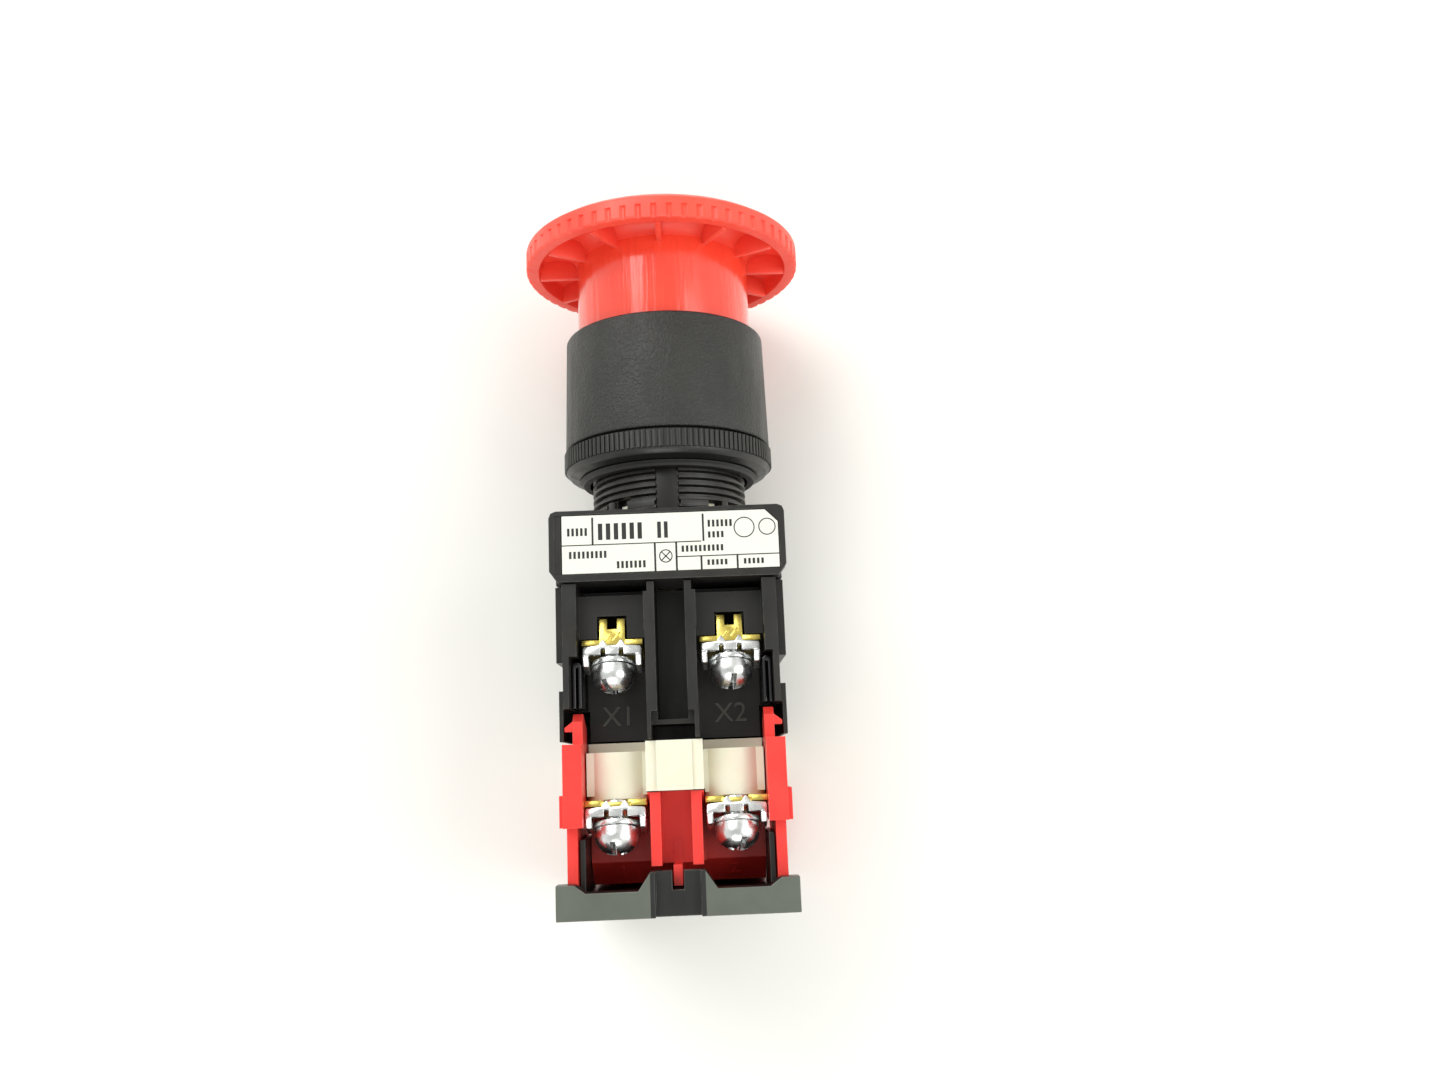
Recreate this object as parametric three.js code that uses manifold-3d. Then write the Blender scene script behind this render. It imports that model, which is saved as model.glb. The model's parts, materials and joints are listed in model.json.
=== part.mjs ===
// An illuminated mushroom emergency stop for a 22 mm panel hole: push to lock, turn to reset.
//
// Millimetres. The button's axis is Y, and the mushroom faces -Y. The origin is on that axis, 1.2 mm
// behind the gasket's rear face. +Z is the side that carries the label and the screws, and "left" is
// +X, which is on the left for someone who looks at that side with the mushroom on top.
import * as THREE from "three";
import { mergeVertices } from "three/addons/utils/BufferGeometryUtils.js";
import Module from "manifold-3d";

const wasm = await Module();
wasm.setup();

// ---- Driving dimensions ----
const GAP = 0.15; // between pieces that touch
const FIT = 0.3; // between pieces that move past each other
const ROUND = 56; // facets round a large turned piece
const SMALL_ROUND = 20; // facets round a small one

const HEAD = { radius: 20, face: -39.9, rimFront: -36.3, rimBack: -33.4, sleeve: 12.55, sleeveEnd: -18.6 };
const RIBS = { count: 12, half: 0.4 }; // under the mushroom's rim
const COLLAR = { front: -22.5, back: -6.1, frontRadius: 14.3, backRadius: 14.65, bore: 12.8 };
const NECK = { radius: 10.9, bore: 9.0, front: -21.2, back: 11.8, tube: 9.8, flange: 13.2 };
const RING = { front: -5.95, back: -2.1, radius: 14.9, bore: 11.15, flank: 12.9 };
const GASKET = { frontRadius: 12.7, backRadius: 12.2 };
const PANEL = { front: -1.2, back: 6.3 }; // the clamped panel lies between these two planes
const BODY = { halfWidth: 14.95, bottom: -20, top: 20 };
const BASE_BACK = 15.4; // rear face of the label housing
const LAMP_UNIT = { front: 15.6, back: 35.1, halfWidth: 13.5, top: 19.4, floor: 9 };
const CONTACT = { front: 35.4, seam: 42.1, back: 53.4, halfWidth: 11.2, floor: 10, middleBack: 41.5 };
const COVER = { ends: 52.2, middle: 51.0, plate: 54.0, back: 56.4, halfWidth: 14.7 };
const RAIL = { inner: 1.9, outer: 3.5 }; // the pair of rails down the middle of the label side
const COMPARTMENT = { inner: 3.3, outer: 11.7 }; // the screw compartments on each side of them

// The four terminal screws lean towards the label side, so that a screwdriver can reach them.
const TERMINAL = { lean: THREE.MathUtils.degToRad(15), across: 7.5, lampY: 23.8, contactY: 43.8, height: 14.3 };

const SHAFT = { radius: 7.9, bore: 6.3, front: -37.4, step: -9.2, back: -4.0 };
const LAMP_HOLDER = { radius: 6.0, bore: 5.0, front: -11.5, back: 26 };
const LEG = { inner: 6.5, outer: 8.3, half: 2.6 }; // the pusher's legs, in X and Z
const PINS = { rest: -15.6, inner: 6.5, outer: 7.85, radius: 0.8 };

// ---- Finishes ----
const finish = (color, roughness, metalness = 0) =>
  new THREE.MeshStandardMaterial({ color, roughness, metalness });
const RED_CAP = finish(0xf23a22, 0.3);
const RED_PLASTIC = finish(0xe0261c, 0.45);
const BLACK_GRAIN = finish(0x2f302c, 0.6);
const BLACK_PLASTIC = finish(0x262623, 0.5);
const IVORY = finish(0xeeecd2, 0.5);
const LABEL_WHITE = finish(0xeef0e6, 0.6);
const RUBBER = finish(0x1c1c1a, 0.8);
const BRASS = finish(0xc9a832, 0.3, 1);
const ZINC = finish(0xc8ccd0, 0.25, 1);
const SPRING_STEEL = finish(0x9fa3a6, 0.35, 1);
const LENS = finish(0xf5f5ee, 0.2);

// ---- Solid helpers: every solid is a BufferGeometry of merged positions ----
function toManifold(geometry) {
  return new wasm.Manifold(
    new wasm.Mesh({
      numProp: 3,
      vertProperties: new Float32Array(geometry.getAttribute("position").array),
      triVerts: new Uint32Array(geometry.index.array),
    }),
  );
}

function fromManifold(manifold) {
  const mesh = manifold.getMesh();
  const geometry = new THREE.BufferGeometry();
  geometry.setAttribute("position", new THREE.BufferAttribute(new Float32Array(mesh.vertProperties), 3));
  geometry.setIndex(new THREE.BufferAttribute(new Uint32Array(mesh.triVerts), 1));
  return geometry;
}

// Merges shared vertices and turns the faces outwards.
function closed(geometry) {
  geometry.deleteAttribute("normal");
  geometry.deleteAttribute("uv");
  const merged = mergeVertices(geometry, 1e-4);
  if (toManifold(merged).volume() < 0) {
    const index = merged.index.array;
    for (let i = 0; i < index.length; i += 3) {
      [index[i + 1], index[i + 2]] = [index[i + 2], index[i + 1]];
    }
  }
  return merged;
}

function join(first, ...others) {
  return fromManifold(others.reduce((sum, other) => sum.add(toManifold(other)), toManifold(first)));
}

function cut(body, ...tools) {
  return fromManifold(tools.reduce((rest, tool) => rest.subtract(toManifold(tool)), toManifold(body)));
}

function box([x0, x1], [y0, y1], [z0, z1]) {
  const geometry = new THREE.BoxGeometry(Math.abs(x1 - x0), Math.abs(y1 - y0), Math.abs(z1 - z0));
  return closed(geometry.translate((x0 + x1) / 2, (y0 + y1) / 2, (z0 + z1) / 2));
}

// A solid turned about the Y axis from [radius, y] points.
function turned(points, facets = ROUND) {
  const outline = points.map(([radius, y]) => new THREE.Vector2(radius, y));
  return closed(new THREE.LatheGeometry(outline, facets));
}

function tube(inner, outer, y0, y1, facets = ROUND) {
  return turned([[inner, y0], [outer, y0], [outer, y1], [inner, y1], [inner, y0]], facets);
}

function rod(radius, y0, y1, facets = SMALL_ROUND) {
  return turned([[0, y0], [radius, y0], [radius, y1], [0, y1]], facets);
}

// A flat outline of [x, y] points, given a thickness in Z.
function slab(points, z0, z1) {
  const shape = new THREE.Shape(points.map(([x, y]) => new THREE.Vector2(x, y)));
  const geometry = new THREE.ExtrudeGeometry(shape, { depth: z1 - z0, bevelEnabled: false });
  return closed(geometry.translate(0, 0, z0));
}

// An outline of [y, z] points, given a thickness in X.
function profile(points, x0, x1) {
  const shape = new THREE.Shape(points.map(([y, z]) => new THREE.Vector2(y, z)));
  const geometry = new THREE.ExtrudeGeometry(shape, { depth: Math.abs(x1 - x0), bevelEnabled: false });
  geometry.applyMatrix4(new THREE.Matrix4().set(0, 0, 1, Math.min(x0, x1), 1, 0, 0, 0, 0, 1, 0, 0, 0, 0, 0, 1));
  return closed(geometry);
}

// The same range on the left (side = 1) or the right (side = -1) of the middle plane.
const onSide = (side, low, high) => (side > 0 ? [low, high] : [-high, -low]);

const SIDES = [1, -1];
const sideName = (side) => (side > 0 ? "left" : "right");

class Helix extends THREE.Curve {
  constructor(radius, y0, y1, turns) {
    super();
    Object.assign(this, { radius, y0, y1, turns });
  }

  getPoint(t, target = new THREE.Vector3()) {
    const angle = t * this.turns * 2 * Math.PI;
    const y = this.y0 + t * (this.y1 - this.y0);
    return target.set(this.radius * Math.cos(angle), y, this.radius * Math.sin(angle));
  }
}

// A coil spring about the Y axis: its wire is a six-sided section drawn along a helix.
function coil(radius, wire, y0, y1, turns, stepsPerTurn = 12) {
  const section = new THREE.Shape(
    Array.from({ length: 6 }, (_, i) => {
      const angle = (i * Math.PI) / 3;
      return new THREE.Vector2(Math.cos(angle) * wire * 0.5, Math.sin(angle) * wire * 0.5);
    }),
  );
  const path = new Helix(radius, y0 + wire / 2, y1 - wire / 2, turns);
  return closed(
    new THREE.ExtrudeGeometry(section, { steps: turns * stepsPerTurn, extrudePath: path, bevelEnabled: false }),
  );
}

const root = new THREE.Group();

function add(name, geometry, material, parent = root) {
  const mesh = new THREE.Mesh(geometry, material);
  mesh.name = name;
  parent.add(mesh);
  return mesh;
}

// ---- Mushroom head: what is pushed and turned ----
function mushroomCap() {
  const { radius, face, rimFront, rimBack, sleeve, sleeveEnd } = HEAD;
  const bore = sleeve - 1.3;
  const shell = turned([
    [0, face],
    [9, face + 0.45],
    [15, face + 1.5],
    [18.6, face + 2.7],
    [radius - 0.2, rimFront],
    [radius, rimFront + 0.4],
    [radius, rimBack],
    [radius - 2, rimBack],
    [radius - 2.3, rimFront + 0.5],
    [sleeve + 0.9, rimFront - 0.3],
    [sleeve, rimFront + 0.6],
    [sleeve, sleeveEnd],
    [bore, sleeveEnd],
    [bore, face + 2.2],
    [0, face + 1.9],
  ]);
  const ribs = [];
  for (let i = 0; i < RIBS.count; i++) {
    const rib = box([sleeve - 0.4, radius - 1.2], [rimFront - 0.4, rimBack + 0.2], [-RIBS.half, RIBS.half]);
    rib.rotateY(Math.PI / 2 + (2 * Math.PI * i) / RIBS.count);
    ribs.push(rib);
  }
  return join(shell, ...ribs);
}

// The shaft turns with the cap and carries the two lock pins.
function operatorShaft() {
  const { radius, bore, front, step, back } = SHAFT;
  const body = turned([
    [bore, front],
    [HEAD.sleeve - 1.3 - GAP, front],
    [HEAD.sleeve - 1.3 - GAP, front + 3],
    [radius, front + 3.4],
    [radius, step],
    [radius - 0.4, step],
    [radius - 0.4, back],
    [bore, back],
    [bore, front],
  ], 40);
  const holes = SIDES.map((side) => {
    const hole = rod(PINS.radius + 0.1, bore - 1, radius + 1, 12);
    hole.rotateZ((-side * Math.PI) / 2);
    return hole.translate(0, PINS.rest, 0);
  });
  return cut(body, ...holes);
}

function lockPin(side) {
  const pin = rod(PINS.radius, PINS.inner, PINS.outer, 12);
  pin.rotateZ((-side * Math.PI) / 2);
  return pin.translate(0, PINS.rest, 0);
}

// The pusher slides but doesn't turn. Its two legs reach past the lamp to the contact block.
function pusher() {
  const ring = tube(SHAFT.bore + 0.2, SHAFT.radius + 0.7, SHAFT.back + 0.3, 4.5, 40);
  const legs = SIDES.map((side) =>
    box(onSide(side, LEG.inner, LEG.outer), [2, CONTACT.front + 1.5], [-LEG.half, LEG.half]),
  );
  return join(ring, ...legs);
}

// ---- Fixed front: collar, neck, latch ring, locking ring and gasket ----
function collar() {
  const { front, back, frontRadius, backRadius, bore } = COLLAR;
  return turned([
    [bore, front],
    [frontRadius - 0.35, front],
    [frontRadius, front + 0.4],
    [backRadius, back],
    [NECK.flange + GAP, back],
    [NECK.flange + GAP, back - 2],
    [bore, back - 2],
    [bore, front],
  ]);
}

// The neck is one moulding: a guide tube inside the collar, a flange, and the 22 mm thread, which a flat
// keyway and two windows interrupt.
function threadedNeck() {
  const { radius, bore, front, back, tube: guide, flange } = NECK;
  const flangeFront = COLLAR.back - 2 + GAP;
  const flangeBack = COLLAR.back - 0.05;
  const body = turned([
    [bore, front],
    [guide, front],
    [guide, flangeFront],
    [flange, flangeFront],
    [flange, flangeBack],
    [radius, flangeBack],
    [radius, PANEL.back - 0.2],
    [radius - 0.1, PANEL.back - 0.2],
    [radius - 0.1, back],
    [bore, back],
    [bore, front],
  ]);
  const keyway = box([-1.5, 1.5], [flangeBack + 0.5, PANEL.back + 0.1], [radius - 0.75, radius + 1]);
  const windows = SIDES.map((side) =>
    box(onSide(side, 3.2, 7.4), [2.6, 4.6], [6.5, radius + 1]),
  );
  return cut(body, keyway, ...windows);
}

// The lock pins spring out behind the step in this ring when the mushroom is pushed home.
function latchRing() {
  const outer = NECK.bore - 0.1;
  return turned([
    [8.2, -17.2],
    [outer, -17.2],
    [outer, -9.4],
    [8.6, -9.4],
    [8.6, -12.9],
    [8.2, -13.3],
    [8.2, -17.2],
  ], 40);
}

// The ring's rear edge is chamfered down to a nearly flat flank.
function lockingRing() {
  const { front, back, radius, bore, flank } = RING;
  return turned([
    [bore, front],
    [radius - 0.25, front],
    [radius, front + 0.3],
    [radius, back - 1.2],
    [radius - 0.9, back - 0.3],
    [flank, back],
    [bore, back],
    [bore, front],
  ]);
}

function panelGasket() {
  const front = RING.back + 0.1;
  return turned([
    [RING.bore, front],
    [GASKET.frontRadius, front],
    [GASKET.backRadius, PANEL.front],
    [RING.bore, PANEL.front],
    [RING.bore, front],
  ]);
}

// ---- Label housing: the block behind the panel that the neck plugs into ----
const LABEL = { left: 13.3, right: -14.1, front: 6.95, back: 14.4, depth: 0.45, corner: 1.6, ledge: 14.25 };

function labelOutline(grow) {
  const { left, right, front, back, corner } = LABEL;
  return [
    [left + grow, front - grow],
    [left + grow, back + grow],
    [right - grow, back + grow],
    [right - grow, front + corner],
    [right + corner, front - grow],
  ];
}

function labelHousing() {
  const { halfWidth, bottom, top } = BODY;
  const { back: front } = PANEL;
  const block = box([-halfWidth + 0.5, halfWidth - 0.5], [front, BASE_BACK], [bottom, top - 3]);
  const plate = slab(
    [
      [-halfWidth + 0.9, front],
      [halfWidth - 0.9, front],
      [halfWidth - 0.25, front + 0.25],
      [halfWidth, front + 0.9],
      [halfWidth, BASE_BACK - 1.4],
      [halfWidth - 1, BASE_BACK],
      [-halfWidth + 1, BASE_BACK],
      [-halfWidth, BASE_BACK - 1.4],
      [-halfWidth, front + 0.9],
      [-halfWidth + 0.25, front + 0.25],
    ],
    top - 3.2,
    top,
  );
  const neckBore = rod(NECK.radius + 0.1, front - 1, BASE_BACK + 1, ROUND);
  const legRoom = box([-LEG.outer - 1, LEG.outer + 1], [front + 5.8, BASE_BACK + 1], [-LEG.half - 1, LEG.half + 1]);
  const labelSeat = slab(labelOutline(0.1), top - LABEL.depth, top + 1);
  const ledge = box([LABEL.left, LABEL.ledge], [LABEL.front - 0.1, LABEL.back + 0.1], [top - 0.25, top + 1]);
  return cut(join(block, plate), neckBore, legRoom, labelSeat, ledge);
}

function labelPlate() {
  return slab(labelOutline(0), BODY.top - LABEL.depth + GAP, BODY.top - 0.05);
}

// ---- Terminals: built upright about +Y, then leaned over by their group ----
// Each stack runs along its screw: the brass flange, the clamp, the spring washer and the screw head.
const STACK = { flange: -0.8, clamp: 0.15, washer: 1.45, head: 2.35, apex: 5.7 };
const FLANGE = { half: 3.9, low: -3.6, high: 2.4, hole: 2.0 };

function boreTool(radius, y0, y1) {
  return rod(radius, y0, y1, SMALL_ROUND);
}

function brassTerminal(withFork) {
  const { half, low, high, hole } = FLANGE;
  const flange = box([-half, half], [STACK.flange, 0], [low, high]);
  const tab = box([-1.65, 1.65], [-3.6, 0], [high - 0.6, high]);
  const notch = box([-0.6, 0.6], [-4, -2.1], [high - 1, high + 1]);
  const body = withFork ? cut(join(flange, tab), notch) : flange;
  return cut(body, boreTool(hole, STACK.flange - 1, 1));
}

// The blade carries the current from the contact terminal down to the fixed contact tip in the chamber.
const BLADE = { inner: 3.7, outer: 5.3, front: 43.4, back: 43.9, low: 0.4, high: 13 };

function clampPlate() {
  const { clamp, washer } = STACK;
  const plate = box([-3.65, 3.65], [clamp, washer - GAP], [-2.9, 2.7]);
  const ends = SIDES.map((side) => box(onSide(side, 2.75, 3.65), [clamp + 0.3, washer + 0.7], [-2.9, 1.6]));
  const tooth = (x) =>
    profile([[clamp - 0.1, 2.2], [clamp - 0.1, 2.9], [clamp + 1, 3.1], [clamp + 1, 2.2]], x - 0.4, x + 0.4);
  return cut(join(plate, ...ends, tooth(1.2), tooth(-1.2)), boreTool(2.0, clamp - 1, washer + 2));
}

function springWasher() {
  return tube(1.95, 2.6, STACK.washer, STACK.head - 0.15, SMALL_ROUND);
}

function terminalScrew() {
  const { head, apex, flange } = STACK;
  const body = turned(
    [
      [0, flange - 3.2],
      [1.4, flange - 3.2],
      [1.7, flange - 2.7],
      [1.7, head],
      [2.75, head],
      [2.75, head + 1.3],
      [2.45, head + 2.3],
      [1.6, apex - 0.3],
      [0, apex],
    ],
    SMALL_ROUND,
  );
  const slot = box([-3, 3], [apex - 1.3, apex + 1], [-0.4, 0.4]);
  const cross = box([-0.4, 0.4], [apex - 1.9, apex + 1], [-1.4, 1.4]);
  return cut(body, slot, cross);
}

function leaned(side, y) {
  const group = new THREE.Group();
  group.position.set(side * TERMINAL.across, y, TERMINAL.height);
  group.rotation.x = TERMINAL.lean;
  group.updateMatrix();
  return group;
}

// The space that a terminal's stack and its screwdriver need, for cutting the mouldings.
function terminalRoom(side, y, high) {
  const group = leaned(side, y);
  const room = box([-4.3, 4.3], [STACK.flange - GAP, 26], [-4.4, high]);
  const shank = boreTool(2.1, STACK.flange - 6.6, 0);
  return join(room, shank).applyMatrix4(group.matrix);
}

function addTerminal(side, y, prefix, withFork) {
  const group = leaned(side, y);
  const terminal = brassTerminal(withFork);
  if (withFork) {
    add(`${prefix}_terminal_${sideName(side)}`, terminal, BRASS, group);
  } else {
    const flange = terminal.applyMatrix4(group.matrix);
    const blade = box(onSide(side, BLADE.inner, BLADE.outer), [BLADE.front, BLADE.back], [BLADE.low, BLADE.high]);
    const tip = box(onSide(side, BLADE.inner, BLADE.outer), [BLADE.front, BLADE.back + 0.35], [BLADE.low, 2]);
    add(`${prefix}_terminal_${sideName(side)}`, join(flange, blade, tip), BRASS);
  }
  add(`${prefix}_clamp_${sideName(side)}`, clampPlate(), ZINC, group);
  add(`${prefix}_spring_washer_${sideName(side)}`, springWasher(), ZINC, group);
  add(`${prefix}_screw_${sideName(side)}`, terminalScrew(), ZINC, group);
  root.add(group);
}

// ---- Lamp unit ----
const TONGUE = { inner: 11.5, outer: 12.6, front: 25.2, back: 31.0, low: 8, high: 16.5 };
const HOOK = { inner: 11.35, outer: 12.6, barb: 13.6, tip: 31.7 };
const SIDE_RIBS = { outer: 14.5, top: 17.4, rearOuter: 14.3, rearTop: 16.8 };
const WINDOW = { inner: 2.8, back: 16.8, low: 11 };
const CROSS_BAR = { front: 32.8, back: 33.4, top: 17, half: 2.7 };

function lampUnitBody() {
  const { front, back, halfWidth, top, floor } = LAMP_UNIT;
  const block = box([-halfWidth, halfWidth], [front, back], [BODY.bottom, top]);
  const ribs = SIDES.flatMap((side) => [
    box(onSide(side, halfWidth - 0.5, SIDE_RIBS.outer), [front + 0.1, 25.3], [BODY.bottom, SIDE_RIBS.top]),
    box(onSide(side, halfWidth - 0.5, SIDE_RIBS.rearOuter), [28.8, back], [BODY.bottom, SIDE_RIBS.rearTop]),
  ]);
  const perSide = SIDES.flatMap((side) => [
    box(onSide(side, COMPARTMENT.inner, COMPARTMENT.outer), [24, back + 1], [floor, 22]),
    box(onSide(side, COMPARTMENT.inner, COMPARTMENT.outer), [front - 1, 24], [16.2, 22]),
    box(onSide(side, WINDOW.inner, COMPARTMENT.outer), [front - 1, WINDOW.back], [WINDOW.low, 22]),
    box(onSide(side, TERMINAL.across - 1.9, TERMINAL.across + 1.9), [19.4, 23.9], [14.6, 17]),
    box(onSide(side, TONGUE.inner - GAP, TONGUE.outer + GAP), [TONGUE.front - 0.5, back + 1], [TONGUE.low - GAP, 22]),
    box(onSide(side, HOOK.inner - 0.2, HOOK.barb + 0.2), [HOOK.tip - 0.6, back + 1], [-4.2, 22]),
    box(onSide(side, LEG.inner - FIT, LEG.outer + FIT), [front - 1, back + 1], [-LEG.half - FIT, LEG.half + FIT]),
    terminalRoom(side, TERMINAL.lampY, 9),
  ]);
  const { half } = CROSS_BAR;
  const channel = box([-RAIL.inner, RAIL.inner], [front - 1, CROSS_BAR.front], [10.5, 22]);
  const barTop = box([-half, half], [CROSS_BAR.front - 1, CROSS_BAR.back], [CROSS_BAR.top, 22]);
  const hole = box([-half, half], [CROSS_BAR.back, back + 1], [8.5, 22]);
  const lampBore = rod(LAMP_HOLDER.radius + GAP, front - 1, LAMP_HOLDER.back + GAP, 40);
  return cut(join(block, ...ribs), ...perSide, channel, barTop, hole, lampBore);
}

function lampHolder() {
  return tube(LAMP_HOLDER.bore, LAMP_HOLDER.radius, LAMP_HOLDER.front, LAMP_HOLDER.back, 32);
}

function ledLamp() {
  return turned([[0, -31], [2.6, -30.3], [4.2, -28.4], [4.6, -25.5], [4.6, -12.6], [0, -12.6]], 24);
}

function lampBase() {
  return turned([[0, -12.4], [4.7, -12.4], [4.7, -3], [2.2, -1.6], [2.2, -0.8], [0, -0.8]], 24);
}

function glossyTongue(side) {
  const { inner, outer, front, back, low, high } = TONGUE;
  return profile(
    [[front + 1.2, low], [back, low], [back, high], [front + 1.2, high], [front, high - 1.4], [front, low + 1.4]],
    ...onSide(side, inner, outer),
  );
}

// ---- Contact block: ivory front, red body, latch arms and the moving contact ----
// In front of each screw the ivory moulding has a shoulder with a low round lobe on it.
const LOBE = { radius: 4.2, across: 7.2, height: 12, set: 1.2, past: 0.45 };
const SHOULDER = { low: 11.5, top: 14.9 };

function lobe(side) {
  const { front, seam } = CONTACT;
  const { radius, across, height, set, past } = LOBE;
  const round = rod(radius, front + set, seam + past, 40).translate(side * across, 0, height);
  return cut(round, box(onSide(side, 0, 20), [front, seam + 2], [0, SHOULDER.low]));
}

function ivoryFront() {
  const { front, seam, halfWidth, middleBack } = CONTACT;
  const behindMiddle = box([-RAIL.outer - GAP, RAIL.outer + GAP], [middleBack, seam + 1], [CONTACT.floor - 1, 20]);
  const slabBody = box([-halfWidth, halfWidth], [front, seam - GAP], [BODY.bottom, SHOULDER.low]);
  const shoulder = box([-halfWidth, halfWidth], [front + LOBE.set, seam - GAP], [SHOULDER.low - 1, SHOULDER.top]);
  const flanks = SIDES.map((side) =>
    box(onSide(side, halfWidth - 0.5, 14.4), [front, 40.6], [BODY.bottom, 8.6]),
  );
  const middle = box([-3.55, 3.55], [front, middleBack], [12, 19]);
  const steps = SIDES.map((side) => box(onSide(side, 2.2, 4), [front - 1, seam + 1], [18.6, 20]));
  const legRoom = SIDES.map((side) =>
    box(onSide(side, LEG.inner - FIT, LEG.outer + FIT), [front - 1, seam + 1], [-LEG.half - FIT, LEG.half + FIT]),
  );
  const rooms = SIDES.map((side) => terminalRoom(side, TERMINAL.contactY, 9));
  const solid = join(slabBody, shoulder, ...flanks, middle, ...SIDES.map(lobe));
  return cut(solid, behindMiddle, ...steps, ...legRoom, ...rooms);
}

const CHAMBER = { halfX: 9.2, low: -6, high: 7, back: 50.3, well: 2.9, wellBack: 52.9 };

function contactBlockBody() {
  const { seam, back, halfWidth, floor, middleBack } = CONTACT;
  const side = profile(
    [[seam, BODY.bottom + 1], [back, BODY.bottom + 1], [back, 6.5], [50.4, floor], [seam, floor]],
    -halfWidth,
    halfWidth,
  );
  const rails = box([-RAIL.outer, RAIL.outer], [middleBack + GAP, 50.5], [floor - 0.7, 18]);
  const tongue = box([-0.55, 0.55], [48, 53.0], [floor - 3, 17]);
  const channel = box([-RAIL.inner, RAIL.inner], [seam - 1, 51], [13.5, 20]);
  const chamber = box([-CHAMBER.halfX, CHAMBER.halfX], [seam - 1, CHAMBER.back], [CHAMBER.low, CHAMBER.high]);
  const springWell = rod(CHAMBER.well, seam, CHAMBER.wellBack);
  const blades = SIDES.map((s) =>
    box(onSide(s, BLADE.inner - 0.2, BLADE.outer + 0.2), [seam - 1, BLADE.back + 0.2], [0, 14]),
  );
  const rooms = SIDES.map((s) => terminalRoom(s, TERMINAL.contactY, 9));
  const body = cut(join(side, rails), channel, chamber, springWell, ...blades, ...rooms);
  return join(body, cut(tongue, box([-2, 2], [47, 50.5], [13.6, 20])));
}

// A latch arm hooks into the lamp unit in front and reaches back along the side of the contact block.
function latchArm(side) {
  const outer = 13.8;
  const plate = profile(
    [[35.5, 8.9], [40.9, 8.9], [40.9, -4], [45.6, -4], [45.6, 19], [35.5, 19]],
    ...onSide(side, 11.4, outer),
  );
  const bulge = box(onSide(side, outer - 0.3, 14.4), [41.7, 45.6], [-4, 17.5]);
  const leg = box(onSide(side, 12.2, 13.5), [45, 53.5], [2, 17.5]);
  const bar = profile(
    [[36, 12], [33.4, 12], [HOOK.tip + 1, 14], [HOOK.tip, 16.2], [HOOK.tip + 1, 17.6], [36, 17.6]],
    ...onSide(side, HOOK.inner, HOOK.outer),
  );
  const barb = slab(
    [
      [side * (HOOK.outer - 0.3), HOOK.tip + 0.7],
      [side * HOOK.barb, 33.4],
      [side * HOOK.barb, 33.9],
      [side * (HOOK.outer - 0.3), 33.9],
    ],
    14,
    17.4,
  );
  return join(plate, bulge, leg, bar, barb);
}

function contactPlunger() {
  const legs = SIDES.map((side) =>
    box(onSide(side, LEG.inner, LEG.outer), [CONTACT.front + 1.65, 44.1], [-LEG.half, LEG.half]),
  );
  const yoke = box([-LEG.outer, LEG.outer], [42.5, 44.1], [-LEG.half, -0.4]);
  return join(yoke, ...legs);
}

function contactBridge() {
  const bar = box([-5.4, 5.4], [44.7, 45.3], [-2.4, 2.2]);
  const tips = SIDES.map((side) => box(onSide(side, 3.8, 5.2), [44.4, 44.9], [0.5, 1.9]));
  return join(bar, ...tips);
}

// ---- End cover ----
function endCover() {
  const { ends, middle, plate, back, halfWidth } = COVER;
  const { bottom, top } = BODY;
  const lip = (z0, z1) => {
    const half = [
      [halfWidth, ends],
      [12.5, ends],
      [11.1, ends + 1],
      [4.8, ends + 1],
      [3.3, middle],
    ];
    const outline = [[halfWidth, back], ...half, ...half.toReversed().map(([x, y]) => [-x, y]), [-halfWidth, back]];
    return slab(outline, z0, z1);
  };
  const rearPlate = box([-halfWidth, halfWidth], [plate, back], [bottom, top]);
  const frontLip = lip(17.6, top);
  const lowerLip = box([-halfWidth, halfWidth], [ends - 1, back], [bottom, bottom + 0.85]);
  const arms = SIDES.map((side) => box(onSide(side, 11.35, 12.05), [47.1, plate + 0.5], [4, 16.4]));
  const recess = box([-2.75, 2.75], [50, back + 1], [18.7, top + 1]);
  const slit = box([-0.7, 0.7], [50, 53.3], [16, top + 1]);
  return cut(join(rearPlate, frontLip, lowerLip, ...arms), recess, slit);
}

// ---- Assembly ----
add("mushroom_cap", mushroomCap(), RED_CAP);
add("operator_shaft", operatorShaft(), RED_PLASTIC);
add("return_spring", coil(10.45, 0.7, SHAFT.front + 3.6, COLLAR.back - 2, 7, 16), SPRING_STEEL);
add("turn_spring", coil(8.3, 0.6, SHAFT.step + 0.15, SHAFT.back - 0.1, 5, 10), SPRING_STEEL);
add("pusher", pusher(), BLACK_PLASTIC);
add("collar", collar(), BLACK_GRAIN);
add("threaded_neck", threadedNeck(), BLACK_PLASTIC);
add("latch_ring", latchRing(), ZINC);
add("locking_ring", lockingRing(), BLACK_PLASTIC);
add("panel_gasket", panelGasket(), RUBBER);
add("label_housing", labelHousing(), BLACK_PLASTIC);
add("label_plate", labelPlate(), LABEL_WHITE);
add("lamp_unit_body", lampUnitBody(), BLACK_PLASTIC);
add("lamp_holder", lampHolder(), IVORY);
add("led_lamp", ledLamp(), LENS);
add("lamp_base", lampBase(), BRASS);
add("contact_front", ivoryFront(), IVORY);
add("contact_block_body", contactBlockBody(), RED_PLASTIC);
add("contact_plunger", contactPlunger(), IVORY);
add("contact_bridge", contactBridge(), BRASS);
add("contact_spring", coil(2.2, 0.4, 45.45, CHAMBER.wellBack - 0.1, 5, 10), SPRING_STEEL);
add("end_cover", endCover(), BLACK_PLASTIC);
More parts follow.
